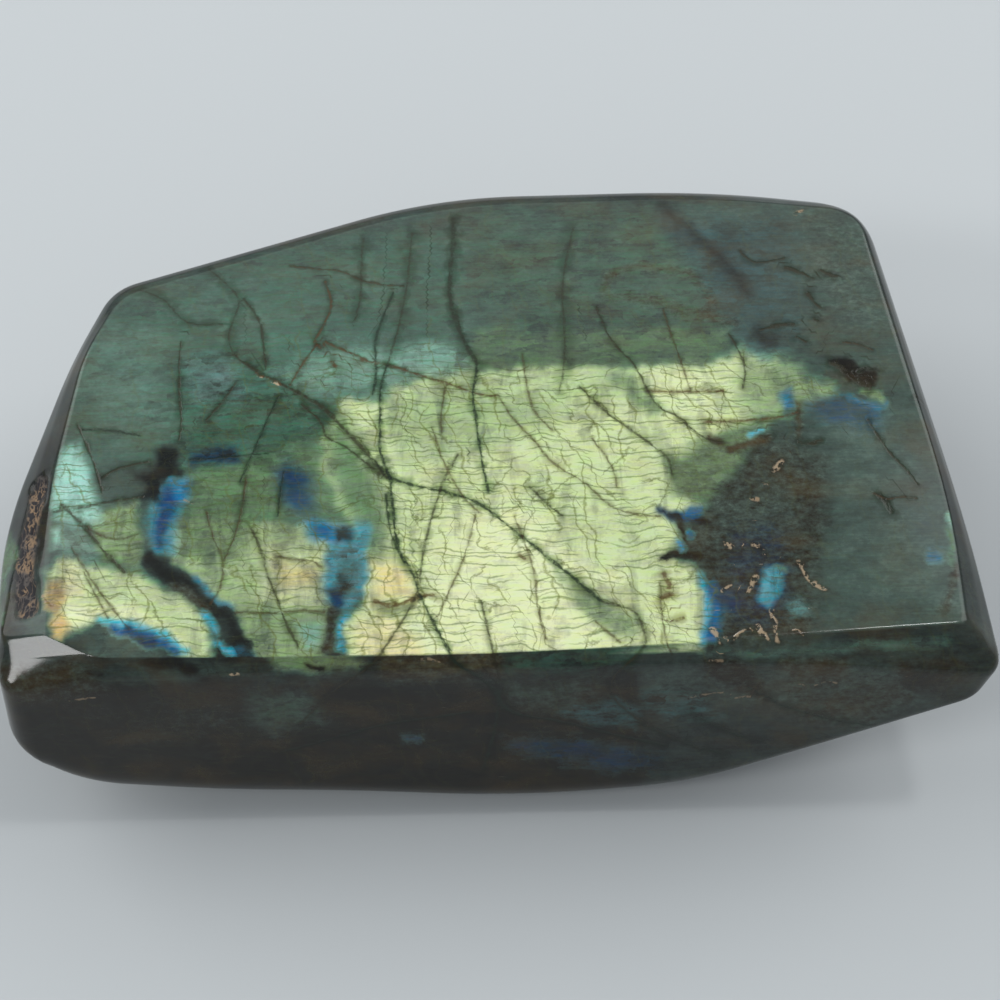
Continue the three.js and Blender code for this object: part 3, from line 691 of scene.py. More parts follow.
# Veins and cracks, in pixels too, by kind. width and halo are in millimetres: a dark core and a soft border
# around it. tint runs from dark green (0) over brown (0.5) to tan (1), and dark is how much of it shows. The
# crossing lines lie in a layer of their own, over the first ones.
veins = [
    {"kind": "strong", "width": 0.5, "halo": 1.2, "tint": 0.05, "dark": 0.95,
     "lines": [
         [(388, 478), (420, 487), (446, 492), (476, 500), (514, 530), (545, 555), (571, 576), (601, 601)]],
     "crossing": [
         [(388, 364), (380, 385), (380, 434), (379, 452), (390, 476), (392, 498), (396, 546), (413, 573),
          (420, 595), (436, 628), (449, 652), (456, 664), (493, 684), (504, 713), (557, 720), (611, 734),
          (664, 745)],
         [(477, 364), (476, 378), (472, 392), (476, 421), (481, 454), (488, 492)]]},
    {"kind": "plain", "width": 0.38, "halo": 0.95, "tint": 0.2, "dark": 0.78,
     "lines": [
         [(601, 601), (620, 606), (636, 611), (641, 622), (647, 639), (643, 650), (600, 688), (646, 727),
          (700, 749)],
         [(580, 387), (606, 413), (636, 433), (653, 446), (669, 458), (672, 476)],
         [(244, 299), (260, 320), (263, 342), (266, 368)],
         [(54, 512), (80, 508), (105, 502), (143, 497)],
         [(103, 477), (118, 468), (136, 464), (148, 462)],
         [(530, 487), (546, 503), (563, 516)],
         [(739, 250), (750, 262), (764, 263), (784, 258)],
         [(868, 420), (887, 450), (900, 463), (918, 484)]],
     "crossing": [
         [(301, 404), (323, 423), (325, 438), (344, 445), (361, 459), (380, 474)],
         [(596, 308), (612, 343), (623, 353), (636, 366), (650, 396), (661, 410), (677, 415), (691, 429),
          (712, 442), (723, 442)],
         [(729, 334), (739, 350), (746, 369), (743, 388)],
         [(181, 342), (179, 364), (179, 385), (180, 407), (182, 423), (179, 440)],
         [(236, 382), (226, 398), (206, 420)],
         [(78, 426), (88, 448), (98, 474), (102, 492)],
         [(248, 522), (262, 550), (266, 572), (276, 596), (288, 628), (298, 646)],
         [(458, 454), (443, 481), (437, 501), (427, 533), (422, 560), (418, 595), (402, 622), (386, 646),
          (370, 668), (336, 688), (300, 724)],
         [(481, 601), (488, 630), (494, 655), (500, 681)]]},
    {"kind": "dark and thin", "width": 0.33, "halo": 0.75, "tint": 0.03, "dark": 0.78,
     "lines": [
         [(393, 293), (382, 320), (374, 342), (377, 369), (373, 394)],
         [(386, 495), (388, 520), (393, 541), (404, 562)],
         [(83, 430), (110, 430), (140, 436)],
         [(190, 460), (220, 458), (256, 454), (270, 454)],
         [(284, 472), (280, 492), (278, 516)]],
     "crossing": [
         [(278, 397), (265, 425), (252, 455), (240, 482)]]},
    {"kind": "thin", "width": 0.3, "halo": 0.7, "tint": 0.35, "dark": 0.65,
     "lines": [
         [(290, 266), (317, 269), (344, 271), (358, 280), (382, 285), (404, 286)],
         [(84, 572), (96, 596), (108, 618)],
         [(246, 478), (242, 510), (234, 540), (224, 560)],
         [(236, 612), (262, 614), (300, 610), (324, 612)],
         [(276, 556), (296, 560), (312, 560), (322, 568)],
         [(497, 394), (514, 421), (535, 440), (549, 462), (584, 481), (611, 508), (640, 516), (660, 516)],
         [(522, 354), (527, 389), (533, 411), (541, 419), (552, 430)],
         [(446, 381), (440, 421), (442, 432)],
         [(596, 622), (612, 636), (620, 642)],
         [(660, 582), (661, 610), (666, 640), (672, 655)],
         [(843, 342), (858, 344), (872, 350)]],
     "crossing": [
         [(663, 309), (672, 337), (682, 364), (691, 391)],
         [(86, 526), (104, 538), (122, 540), (138, 534)],
         [(72, 548), (92, 580), (110, 606), (130, 630)],
         [(206, 512), (214, 540), (224, 560), (222, 586), (210, 604)],
         [(476, 514), (465, 557), (449, 592), (438, 616)],
         [(432, 427), (443, 462), (462, 497), (481, 514)],
         [(592, 438), (606, 456), (614, 470), (617, 487)],
         [(514, 516), (522, 535), (535, 571), (538, 611), (546, 639)],
         [(872, 492), (886, 500), (900, 496), (916, 498)]]},
    {"kind": "soft", "width": 0.35, "halo": 2.1, "tint": 0.18, "dark": 0.65,
     "lines": [
         [(209, 269), (236, 293), (241, 304), (230, 326), (228, 342), (234, 355)]],
     "crossing": [
         [(412, 233), (409, 266), (407, 288), (399, 326), (393, 347), (388, 364)],
         [(573, 228), (561, 285), (565, 333), (564, 371), (559, 392)],
         [(141, 290), (165, 299), (181, 320), (200, 326), (222, 324)],
         [(363, 239), (361, 271), (361, 299), (355, 320)]]},
    {"kind": "broad and soft", "width": 0.5, "halo": 2.2, "tint": 0.0, "dark": 0.7,
     "lines": [
         [(282, 752), (325, 741), (371, 727), (414, 720), (470, 712)],
         [(748, 687), (766, 697), (784, 707), (833, 720), (871, 725)],
         [(640, 723), (676, 741), (725, 754)]],
     "crossing": [
         [(500, 690), (496, 727), (482, 773)],
         [(691, 713), (725, 731), (761, 741)]]},
    {"kind": "brown", "width": 0.42, "halo": 1.0, "tint": 0.47, "dark": 0.8,
     "lines": [
         [(325, 282), (333, 304), (325, 323), (314, 342)],
         [(325, 342), (350, 353), (371, 361), (393, 366), (426, 377), (453, 385), (475, 394), (494, 396)],
         [(519, 555), (524, 558)],
         [(647, 391), (688, 392), (723, 391)],
         [(704, 422), (742, 421), (783, 417), (798, 412)]],
     "crossing": [
         [(317, 345), (301, 366), (290, 385)],
         [(662, 620), (668, 621)],
         [(676, 620), (683, 618)]]},
    {"kind": "brown spot", "width": 0.95, "halo": 1.5, "tint": 0.52, "dark": 0.82,
     "lines": [
         [(315, 345), (320, 347)],
         [(332, 362), (335, 366)],
         [(362, 359), (372, 362)],
         [(375, 601), (385, 605), (399, 605), (413, 599), (419, 595), (432, 595)]],
     "crossing": [
         [(664, 574), (669, 584)],
         [(662, 598), (670, 595)]]},
    {"kind": "dark spot", "width": 0.7, "halo": 1.2, "tint": 0.2, "dark": 0.85,
     "lines": [
         [(234, 355), (252, 369), (274, 380), (301, 394), (323, 407), (345, 430), (366, 452), (388, 478)],
         [(62, 505), (86, 528), (104, 552), (124, 572)],
         [(786, 268), (800, 272), (812, 278)],
         [(821, 270), (830, 275), (840, 276)],
         [(808, 294), (814, 302), (820, 308)],
         [(814, 319), (817, 321)],
         [(760, 330), (780, 325), (794, 324)],
         [(797, 337), (806, 342)],
         [(764, 438), (772, 434)],
         [(799, 442), (810, 444), (821, 441)]]},
    {"kind": "wide and dark", "width": 0.95, "halo": 1.8, "tint": 0.12, "dark": 0.88,
     "lines": [
         [(364, 452), (374, 462), (386, 472)],
         [(858, 372), (866, 368), (874, 370)],
         [(916, 396), (922, 402), (926, 408)],
         [(880, 495), (886, 500), (892, 511)]],
     "crossing": [
         [(453, 220), (453, 250), (450, 271), (449, 299), (458, 326), (466, 345), (477, 364)]]},
    {"kind": "matrix", "width": 1.5, "halo": 1.9, "tint": 0.2, "dark": 0.95,
     "lines": [
         [(834, 363), (844, 371), (854, 380), (868, 386)]]},
    {"kind": "tan", "width": 0.8, "halo": 0.8, "tint": 1.0, "dark": 0.7,
     "lines": [
         [(712, 629), (717, 636), (720, 642)],
         [(733, 638), (740, 632), (747, 629)],
         [(757, 626), (763, 634), (769, 639)],
         [(793, 630), (798, 630), (803, 634)],
         [(748, 592), (752, 582), (756, 576)],
         [(722, 591), (732, 585)],
         [(753, 544), (758, 546), (765, 553)],
         [(724, 543), (731, 546)],
         [(799, 561), (805, 573), (808, 580), (823, 589)],
         [(774, 470), (781, 462)]],
     "crossing": [
         [(771, 611), (775, 625), (777, 640)]]},
    {"kind": "chip", "width": 0.7, "halo": 0.0, "tint": 1.0, "dark": 0.95,
     "lines": [
         [(259, 376), (264, 377)],
         [(270, 381), (279, 384)],
         [(230, 674), (238, 674)]]},
    {"kind": "dash", "width": 0.34, "halo": 0.0, "tint": 0.88, "dark": 0.6,
     "lines": [
         [(184, 500), (192, 503)],
         [(418, 660), (432, 659), (440, 662)],
         [(708, 661), (722, 661)],
         [(691, 697), (706, 694), (727, 692)],
         [(735, 698), (748, 696), (756, 699)],
         [(799, 684), (812, 687), (824, 681), (836, 683)],
         [(70, 701), (82, 699), (95, 698)]]},
    {"kind": "fleck", "width": 0.8, "halo": 0.0, "tint": 0.87, "dark": 0.85,
     "lines": [
         [(752, 498), (757, 499)],
         [(795, 213), (802, 211)],
         [(43, 596), (47, 602), (52, 606)]]},
]
veinLook = ("width", "halo", "tint", "dark")
veinReach = 5.0  # millimetres: past this nothing of a vein shows


def rounded(line):
    # cuts the corners of an open line twice, and keeps its ends
    for _ in range(2):
        first = 0.75 * line[:-1] + 0.25 * line[1:]
        second = 0.25 * line[:-1] + 0.75 * line[1:]
        bends = np.stack([first, second], axis=1).reshape(-1, line.shape[1])
        line = np.concatenate([line[:1], bends, line[-1:]])
    return line


def veinField(points, chosen, tree, layer):
    # for each point, the offset to the vein that shows most there, with that vein's own values
    values = {"offset": np.tile([0.0, 0.0, veinReach], (len(points), 1))}
    values |= {name: np.zeros(len(points)) for name in veinLook}
    margin = np.full(len(points), veinReach)
    for kind, pixels in [(kind, pixels) for kind in veins for pixels in kind.get(layer, [])]:
        places = [surfacePoint(pixel, tree) for pixel in rounded(np.array(pixels, dtype=float))]
        line = np.array([place for place in places if place is not None])
        low, high = line.min(axis=0) - veinReach, line.max(axis=0) + veinReach
        near = chosen[np.all((points[chosen] > low) & (points[chosen] < high), axis=1)]
        away, distance = toLine(points[near], line)
        outside = distance - kind["width"] / 2
        closer = outside < margin[near]
        taken = near[closer]
        margin[taken] = outside[closer]
        values["offset"][taken] = away[closer]
        for name in veinLook:
            values[name][taken] = kind[name]
    return values


def addField(mesh, name, values, kind="FLOAT"):
    field = mesh.attributes.new(name, kind, "POINT")
    part = "vector" if kind == "FLOAT_VECTOR" else "value"
    field.data.foreach_set(part, np.ravel(values).astype(np.float32))


def normalsOf(mesh):
    normals = np.empty(len(mesh.vertices) * 3, dtype=np.float32)
    mesh.vertices.foreach_get("normal", normals)
    return normals.reshape(-1, 3)


# The rough patch of matrix on the left bevel, as a line of pixels with a width in millimetres.
roughPatch = {
    "line": [(38, 486), (36, 502), (29, 530), (25, 560), (24, 585), (27, 610)],
    "width": 2.6,
    "heart": 0.4,  # the share of the width where it is at its roughest
}
marked = {
    "lowestPixel": 830,  # just past the foot's lower edge
    "lowest": 1.0,  # millimetres over the floor
    "faceTurn": (0.86, 0.97),  # the bevel's markings give way to the face's as the surface turns up
}


def markStone():
    mesh = stoneBody.data
    normals = normalsOf(mesh)
    place = np.array(photoAxes()[0])
    seen = np.einsum("ij,ij->i", normals, place - stonePoints) > 0
    seen &= (stonePixels[:, 1] < marked["lowestPixel"]) & (stonePoints[:, 2] > marked["lowest"])
    chosen = np.flatnonzero(seen)
    places = [tuple(point * mm) for point in stonePoints]
    tree = BVHTree.FromPolygons(places, [tuple(polygon.vertices) for polygon in mesh.polygons])

    pixels = wandering(stonePixels[chosen])
    onFace, onSide = washField(pixels, faceWashes), washField(pixels, sideWashes)
    share = smoothStep(normals[chosen, 2], *marked["faceTurn"])[:, None]
    for name in ("flash", "glow", "host", "warm"):
        plain = flashColour(plainStone["hue"]) if name == "flash" else plainStone[name]
        values = np.tile(plain, (len(stonePoints), 1))
        values[chosen] = onSide[name] + share * (onFace[name] - onSide[name])
        addField(mesh, name, values, "FLOAT_VECTOR" if name == "flash" else "FLOAT")

    for number, layer in enumerate(("lines", "crossing"), 1):
        veined = veinField(stonePoints, chosen, tree, layer)
        addField(mesh, f"veinOffset{number}", veined["offset"], "FLOAT_VECTOR")
        for name in veinLook:
            addField(mesh, f"vein{name.capitalize()}{number}", veined[name])

    patch = np.array([surfacePoint(pixel, tree) for pixel in roughPatch["line"]])
    distance = toLine(stonePoints, patch)[1]
    inside = smoothStep(-distance, -roughPatch["width"], -roughPatch["heart"] * roughPatch["width"])
    addField(mesh, "roughPatch", inside)
    washCount = len(faceWashes) + len(sideWashes)
    print("markings laid:", washCount, "washes and", len(veins), "kinds of vein on", len(chosen), "points")


markStone()


# The stone's finish. Colours are given as they look on a screen, and lengths in millimetres.
finish = {
    "host": [
        (0.00, (12, 14, 14)), (0.25, (26, 32, 31)), (0.50, (48, 60, 57)), (0.75, (66, 83, 77)),
        (1.00, (92, 113, 104)),
    ],
    "warm": (96, 74, 34),
    "glint": (128, 124, 104),
    "fleck": (58, 62, 40),
    "crackDark": (26, 40, 30),
    "crackBrown": (84, 58, 32),
    "crackTan": (190, 168, 138),
    "borderGreen": (104, 136, 100),
    "borderBrown": (176, 134, 84),
    # the rough patch's net and pits: their own colours, partly with painted highlight on the strands and
    # painted shade in the pits
    "patchNet": (140, 116, 90),
    "patchGrey": (84, 78, 74),
    "patchDark": (34, 32, 36),
    "warmCover": (0.6, 0.85),  # of brown patches and their colour, and of all brown together
    "hueSwing": 0.1,
    "crackCover": 0.55,
    "crackRelief": -0.3,
    "fleckCover": 0.7,
    "borderCover": 0.8,
    "coreCover": 0.88,
    "veinWander": 0.6,
    "patchRoughness": 0.45,  # added on the rough patch
    "strandRelief": 1.5,
    "bump": {"Strength": 0.12, "Distance": 0.0002},  # Distance is in metres
    "refraction": 1.5,
    "specular": 0.34,
}

# Noise, stretched and turned to the stone's grain. amount is how strongly a pattern moves a value. shown
# gives the two heights of the noise between which patches set in, and what they put out there, if not 0, 1.
patterns = {
    "mottle": {"stretch": (0.10, 0.16, 0.14), "detail": 8, "rough": 0.64, "amount": 0.75},
    "lamellae": {"stretch": (0.16, 2.6, 1.6), "turn": 3, "detail": 4, "rough": 0.6, "amount": 0.22},
    "speckle": {"stretch": (0.8, 1.1, 1.0), "detail": 6, "rough": 0.7},
    "brown": {"stretch": (0.08, 0.14, 0.12), "detail": 6, "rough": 0.6, "bend": 0.4,
              "shown": (0.42, 0.72, -0.1, 0.6)},
    "cloud": {"stretch": (0.22, 0.4, 0.4), "detail": 6, "rough": 0.62, "amount": 0.62},
    "fine": {"stretch": (0.35, 2.4, 1.5), "turn": 3, "detail": 5, "rough": 0.65, "amount": 0.5},
    "grain": {"stretch": (1.6, 1.6, 1.6), "detail": 3, "rough": 0.7, "amount": 0.35},
    "veils": {"stretch": (0.30, 0.09, 0.12), "turn": -24, "detail": 4, "rough": 0.6, "bend": 0.8,
              "shown": (0.46, 0.66, -0.04, 0.26)},
    "glints": {"stretch": (0.5, 3.2, 3.2), "turn": 4, "detail": 3, "rough": 0.6, "shown": (0.71, 0.77)},
    "flecks": {"stretch": (0.7, 1.1, 1.0), "detail": 4, "rough": 0.7, "shown": (0.68, 0.76)},
    "strand width": {"stretch": (0.5, 0.5, 0.5), "detail": 2, "rough": 0.5, "shown": (0.35, 0.7, 0.05, 0.24)},
    "strand colour": {"stretch": (0.35, 0.35, 0.35), "detail": 4, "rough": 0.6, "shown": (0.4, 0.62)},
    "patch edge": {"stretch": (0.6, 0.6, 0.6), "detail": 3, "rough": 0.5, "amount": 1.6},
}
flakes = {"stretch": (0.34, 1.0, 0.7), "turn": 4, "amount": 0.3}
net = {"stretch": (1.3, 0.34, 0.9), "turn": 6, "rim": 0.01}
cellBend = {"scale": 0.5, "detail": 3, "rough": 0.6, "by": (2.4, 2.4, 2.4)}  # bends the flakes and the net

# How strongly an effect shows: two values of what drives it, and the strength at each, if not 0 and 1.
strengths = {
    "speckle": (0.1, 0.3, 0.4, 1.9),  # driven by warm
    "saturation": (-0.3, 0.3, 0.7, 1.35),  # by the fine pattern
    "veils": (0.3, 0.6),  # by glow, as the next three are
    "flash": (0.02, 0.3),
    "cracks": (0.1, 0.75, 0.14, 1.0),
    "glints": (0.03, 0.14, 0.42, 0.08),
    "vein gaps": (0.6, 0.9, 0.3, -1.0),  # by the vein's tint, as the next two are
    "vein brown": (0.0, 0.6),
    "vein tan": (0.7, 1.0),
    "patch": (0.3, 0.7),  # by the patch with its ragged edge
    "roughness": (0.0, 1.0, 0.12, 0.2),  # by the broken-up glow
}

# The families of fine cracks. across and along are directions, waver is how far a line strays, length is how
# long its unbroken stretches are, kept how much of it is there at all, and show how strong it looks.
crackFamilies = [
    {"name": "cleavage", "across": (0.03, 0.83, 0.56), "along": (1.0, -0.03, 0.0), "spacing": 1.2,
     "waver": 1.2, "width": 0.19, "length": 9.0, "kept": 0.60, "colour": (92, 116, 62), "show": 0.62},
    {"name": "fine cleavage", "across": (-0.02, 0.80, 0.6), "along": (1.0, 0.02, 0.0), "spacing": 0.72,
     "waver": 1.8, "width": 0.15, "length": 4.0, "kept": 0.52, "colour": (118, 130, 70), "show": 0.5},
    {"name": "uprights", "across": (0.97, 0.22, 0.1), "along": (-0.22, 0.97, 0.3), "spacing": 3.3,
     "waver": 3.0, "width": 0.30, "length": 13.0, "kept": 0.58, "colour": (122, 128, 54), "show": 0.62},
    {"name": "slants", "across": (0.72, 0.66, -0.2), "along": (0.66, -0.72, 0.2), "spacing": 4.0,
     "waver": 4.6, "width": 0.30, "length": 11.0, "kept": 0.60, "colour": (106, 114, 52), "show": 0.62},
    {"name": "counter slants", "across": (0.80, -0.58, 0.2), "along": (0.58, 0.80, 0.1), "spacing": 5.0,
     "waver": 4.6, "width": 0.30, "length": 11.0, "kept": 0.54, "colour": (112, 118, 58), "show": 0.58},
]
crackSizes = ("across", "along", "spacing", "waver", "width", "length", "kept")


def node(tree, kind, inputs=None, **settings):
    made = tree.nodes.new(kind)
    for key, value in settings.items():
        setattr(made, key, value)
    for socket, value in (inputs or {}).items():
        if isinstance(value, bpy.types.NodeSocket):
            tree.links.new(value, made.inputs[socket])
        else:
            made.inputs[socket].default_value = value
    return made


def maths(tree, operation, first, second=0.0, third=0.0, clamp=False):
    made = node(tree, "ShaderNodeMath", {0: first, 1: second, 2: third}, operation=operation, use_clamp=clamp)
    return made.outputs[0]


def times(tree, first, second):
    return maths(tree, "MULTIPLY", first, second)


def vectorMaths(tree, operation, inputs, output=0):
    return node(tree, "ShaderNodeVectorMath", inputs, operation=operation).outputs[output]


def field(tree, name, output="Fac"):
    return node(tree, "ShaderNodeAttribute", attribute_name=name).outputs[output]


def between(tree, value, low, high, toLow=0.0, toHigh=1.0):
    inputs = {"Value": value, "From Min": low, "From Max": high, "To Min": toLow, "To Max": toHigh}
    return node(tree, "ShaderNodeMapRange", inputs, interpolation_type="SMOOTHSTEP").outputs["Result"]


def blend(tree, amount, first, second, how="MIX"):
    # the colour sockets of a Mix node are its inputs 6 and 7 and its output 2
    inputs = {0: amount, 6: first, 7: second}
    return node(tree, "ShaderNodeMix", inputs, data_type="RGBA", blend_type=how).outputs[2]


def ramp(tree, value, stops):
    made = node(tree, "ShaderNodeValToRGB", {"Fac": value})
    elements = made.color_ramp.elements
    while len(elements) < len(stops):
        elements.new(0.5)
    for element, (place, colour) in zip(elements, stops):
        element.position = place
        element.color = shade(*colour)
    return made.outputs["Color"]


def noiseAt(tree, vector, scale, detail, rough, output="Fac", bend=0.0):
    inputs = {"Vector": vector, "Scale": scale, "Detail": detail, "Roughness": rough, "Distortion": bend}
    return node(tree, "ShaderNodeTexNoise", inputs).outputs[output]


def stretched(tree, vector, look):
    turn = math.radians(look.get("turn", 0.0))
    inputs = {"Vector": vector, "Scale": look["stretch"], "Rotation": (0.0, 0.0, turn)}
    return node(tree, "ShaderNodeMapping", inputs).outputs["Vector"]


def heights(tree, inMm, name):
    look = patterns[name]
    vector = stretched(tree, inMm, look)
    return noiseAt(tree, vector, 1.0, look["detail"], look["rough"], bend=look.get("bend", 0.0))


def swing(tree, inMm, name):
    # a pattern about nothing, half of it below
    return maths(tree, "SUBTRACT", heights(tree, inMm, name), 0.5)


def patches(tree, inMm, name):
    return between(tree, heights(tree, inMm, name), *patterns[name]["shown"])


def strengthOf(tree, name, driver):
    return between(tree, driver, *strengths[name])


def moved(tree, value, inMm, names):
    # a value, moved up and down by patterns
    for name in names:
        value = maths(tree, "MULTIPLY_ADD", swing(tree, inMm, name), patterns[name]["amount"], value)
    return value


def newGroup(name, inputs, outputs):
    # a vector input starts as three numbers, and the others as one
    group = bpy.data.node_groups.new(name, "ShaderNodeTree")
    for label, value in inputs.items():
        kind = "NodeSocketVector" if isinstance(value, tuple) else "NodeSocketFloat"
        group.interface.new_socket(label, in_out="INPUT", socket_type=kind).default_value = value
    for label in outputs:
        group.interface.new_socket(label, in_out="OUTPUT", socket_type="NodeSocketFloat")
    return group, node(group, "NodeGroupInput").outputs, node(group, "NodeGroupOutput").inputs


def makeCrackGroup():
    # a family of fine broken cracks: one runs in each step across, in a place and with gaps of its own
    group, given, result = newGroup(
        "crackFamily",
        {"Vector": (0.0, 0.0, 0.0), "Across": (0.0, 1.0, 0.0), "Along": (1.0, 0.0, 0.0), "Spacing": 1.0,
         "Waver": 1.0, "Width": 0.15, "Length": 8.0, "Kept": 0.5},
        ["Cracks"],
    )
    place, spacing = given["Vector"], given["Spacing"]
    long = maths(group, "SUBTRACT", noiseAt(group, place, 0.11, 2.0, 0.5), 0.5)  # a sway over some 9 mm
    short = maths(group, "SUBTRACT", noiseAt(group, place, 0.62, 3.0, 0.6), 0.5)  # and one over some 1.6 mm
    waver = maths(group, "MULTIPLY_ADD", short, 0.5, times(group, long, 3.0))
    across = vectorMaths(group, "DOT_PRODUCT", {0: place, 1: given["Across"]}, "Value")
    across = maths(group, "MULTIPLY_ADD", waver, given["Waver"], across)
    steps = maths(group, "DIVIDE", across, spacing)
    index = maths(group, "FLOOR", steps)
    chance = node(group, "ShaderNodeTexWhiteNoise", {"W": index}, noise_dimensions="1D").outputs["Value"]
    middle = maths(group, "MULTIPLY_ADD", chance, 0.6, 0.2)  # from 0.2 to 0.8 of the step
    away = maths(group, "SUBTRACT", maths(group, "FRACT", steps), middle)
    away = times(group, maths(group, "ABSOLUTE", away), spacing)
    along = vectorMaths(group, "DOT_PRODUCT", {0: place, 1: given["Along"]}, "Value")
    along = maths(group, "DIVIDE", along, given["Length"])
    row = times(group, index, 2.37)  # each crack breaks off in places of its own
    cell = node(group, "ShaderNodeCombineXYZ", {0: along, 1: row, 2: 0.0}).outputs[0]
    least = between(group, given["Kept"], 0.0, 1.0, 0.8, 0.2)
    kept = between(group, noiseAt(group, cell, 1.0, 2.0, 0.6), least, maths(group, "ADD", least, 0.12))
    line = between(group, away, times(group, given["Width"], kept), 0.0)
    group.links.new(times(group, line, kept), result["Cracks"])
    return group


def makeVeinGroup():
    # the drawn veins: a dark core and a soft border, by the offset to the nearest vein. Least is the strength
    # that a worn place keeps, and below nothing it leaves gaps.
    group, given, result = newGroup(
        "drawnVeins",
        {"Vector": (0.0, 0.0, 0.0), "Offset": (0.0, 0.0, 0.0), "Width": 0.4, "Halo": 1.0, "Wander": 0.5,
         "Least": 0.3},
        ["Core", "Border"],
    )
    place = given["Vector"]
    wave = noiseAt(group, place, 0.8, 4.0, 0.6, "Color")
    wave = vectorMaths(group, "SUBTRACT", {0: wave, 1: (0.5, 0.5, 0.5)})
    wave = vectorMaths(group, "SCALE", {0: wave, "Scale": given["Wander"]})
    offset = vectorMaths(group, "ADD", {0: given["Offset"], 1: wave})
    distance = vectorMaths(group, "LENGTH", {0: offset}, "Value")
    swell = between(group, noiseAt(group, place, 0.4, 3.0, 0.6), 0.3, 0.7, 0.2, 1.5)  # times the width
    half = times(group, times(group, given["Width"], swell), 0.5)
    core = between(group, distance, maths(group, "ADD", half, 0.14), times(group, half, 0.4))
    worn = between(group, noiseAt(group, place, 1.1, 3.0, 0.6), 0.36, 0.54, given["Least"], 1.0)
    group.links.new(maths(group, "MULTIPLY", core, worn, clamp=True), result["Core"])
    reach = maths(group, "ADD", times(group, given["Halo"], swell), half)
    group.links.new(between(group, distance, reach, 0.0), result["Border"])
    return group


def rockColour(tree, inMm):
    # the rock between the flashes: mottled, browner in places, with lamellae along the stone
    warm = field(tree, "warm")
    host = moved(tree, field(tree, "host"), inMm, ("mottle", "lamellae"))
    speckle = times(tree, swing(tree, inMm, "speckle"), strengthOf(tree, "speckle", warm))
    colour = ramp(tree, maths(tree, "ADD", host, speckle), finish["host"])
    brown, both = finish["warmCover"]
    warm = maths(tree, "MULTIPLY_ADD", patches(tree, inMm, "brown"), brown, warm)
    warm = maths(tree, "MULTIPLY", warm, both, clamp=True)
    return blend(tree, warm, colour, blend(tree, brown, colour, shade(*finish["warm"])))


def flashColours(tree, inMm):
    # the washes' own colour, a little changed from place to place
    return node(tree, "ShaderNodeHueSaturation", {
        "Hue": maths(tree, "MULTIPLY_ADD", swing(tree, inMm, "cloud"), finish["hueSwing"], 0.5),
        "Saturation": strengthOf(tree, "saturation", swing(tree, inMm, "fine")),
        "Color": field(tree, "flash", "Color")}).outputs["Color"]


def glowBrokenUp(tree, inMm, bent, glowHere):
    # the washes' glow, broken up by clouds, lamellae, grain, flakes and veils
    glow = moved(tree, glowHere, inMm, ("cloud", "fine", "grain"))
    cells = node(tree, "ShaderNodeTexVoronoi", {"Vector": stretched(tree, bent, flakes), "Scale": 1.0})
    each = maths(tree, "SUBTRACT", cells.outputs["Color"], 0.5)
    glow = maths(tree, "MULTIPLY_ADD", each, flakes["amount"], glow)
    veils = times(tree, patches(tree, inMm, "veils"), strengthOf(tree, "veils", glowHere))
    glow = maths(tree, "SUBTRACT", glow, veils)
    return maths(tree, "MULTIPLY", glow, strengthOf(tree, "flash", glowHere), clamp=True)


def layCracks(tree, inMm, glowHere, colour):
    # the fine cracks, clearest where the stone glows
    group = makeCrackGroup()
    strength = strengthOf(tree, "cracks", glowHere)
    relief = 0.0
    for family in crackFamilies:
        inputs = {"Vector": inMm} | {size.capitalize(): family[size] for size in crackSizes}
        cracks = node(tree, "ShaderNodeGroup", inputs, node_tree=group).outputs["Cracks"]
        shown = times(tree, times(tree, cracks, family["show"]), strength)
        tint = shade(*family["colour"])
        darker = blend(tree, finish["crackCover"], tint, blend(tree, 1.0, colour, tint, "MULTIPLY"))
        colour = blend(tree, shown, colour, darker)
        relief = maths(tree, "MULTIPLY_ADD", shown, finish["crackRelief"], relief)
    return colour, relief


def laySpots(tree, inMm, glowHere, colour):
    # small pale glints, mostly on the dull rock, and dark flecks
    glints = times(tree, patches(tree, inMm, "glints"), strengthOf(tree, "glints", glowHere))
    colour = blend(tree, glints, colour, shade(*finish["glint"]))
    flecks = times(tree, patches(tree, inMm, "flecks"), finish["fleckCover"])
    return blend(tree, flecks, colour, shade(*finish["fleck"]))


def layVeins(tree, inMm, colour, relief):
    # the drawn veins, in two layers that cross
    group = makeVeinGroup()
    dark, brown, tan = (shade(*finish[name]) for name in ("crackDark", "crackBrown", "crackTan"))
    green, ochre = (shade(*finish[name]) for name in ("borderGreen", "borderBrown"))
    for layer in (1, 2):
        tint, show = field(tree, f"veinTint{layer}"), field(tree, f"veinDark{layer}")
        drawn = node(tree, "ShaderNodeGroup", {
            "Vector": inMm, "Offset": field(tree, f"veinOffset{layer}", "Vector"),
            "Width": field(tree, f"veinWidth{layer}"), "Halo": field(tree, f"veinHalo{layer}"),
            "Wander": finish["veinWander"], "Least": strengthOf(tree, "vein gaps", tint)}, node_tree=group)
        border = times(tree, times(tree, drawn.outputs["Border"], show), finish["borderCover"])
        bordered = blend(tree, 1.0, colour, blend(tree, tint, green, ochre), "MULTIPLY")
        colour = blend(tree, border, colour, bordered)
        inside = blend(tree, strengthOf(tree, "vein brown", tint), dark, brown)
        inside = blend(tree, strengthOf(tree, "vein tan", tint), inside, tan)
        core = times(tree, drawn.outputs["Core"], show)
        colour = blend(tree, times(tree, core, finish["coreCover"]), colour, inside)
        relief = maths(tree, "SUBTRACT", relief, core)
    return colour, relief


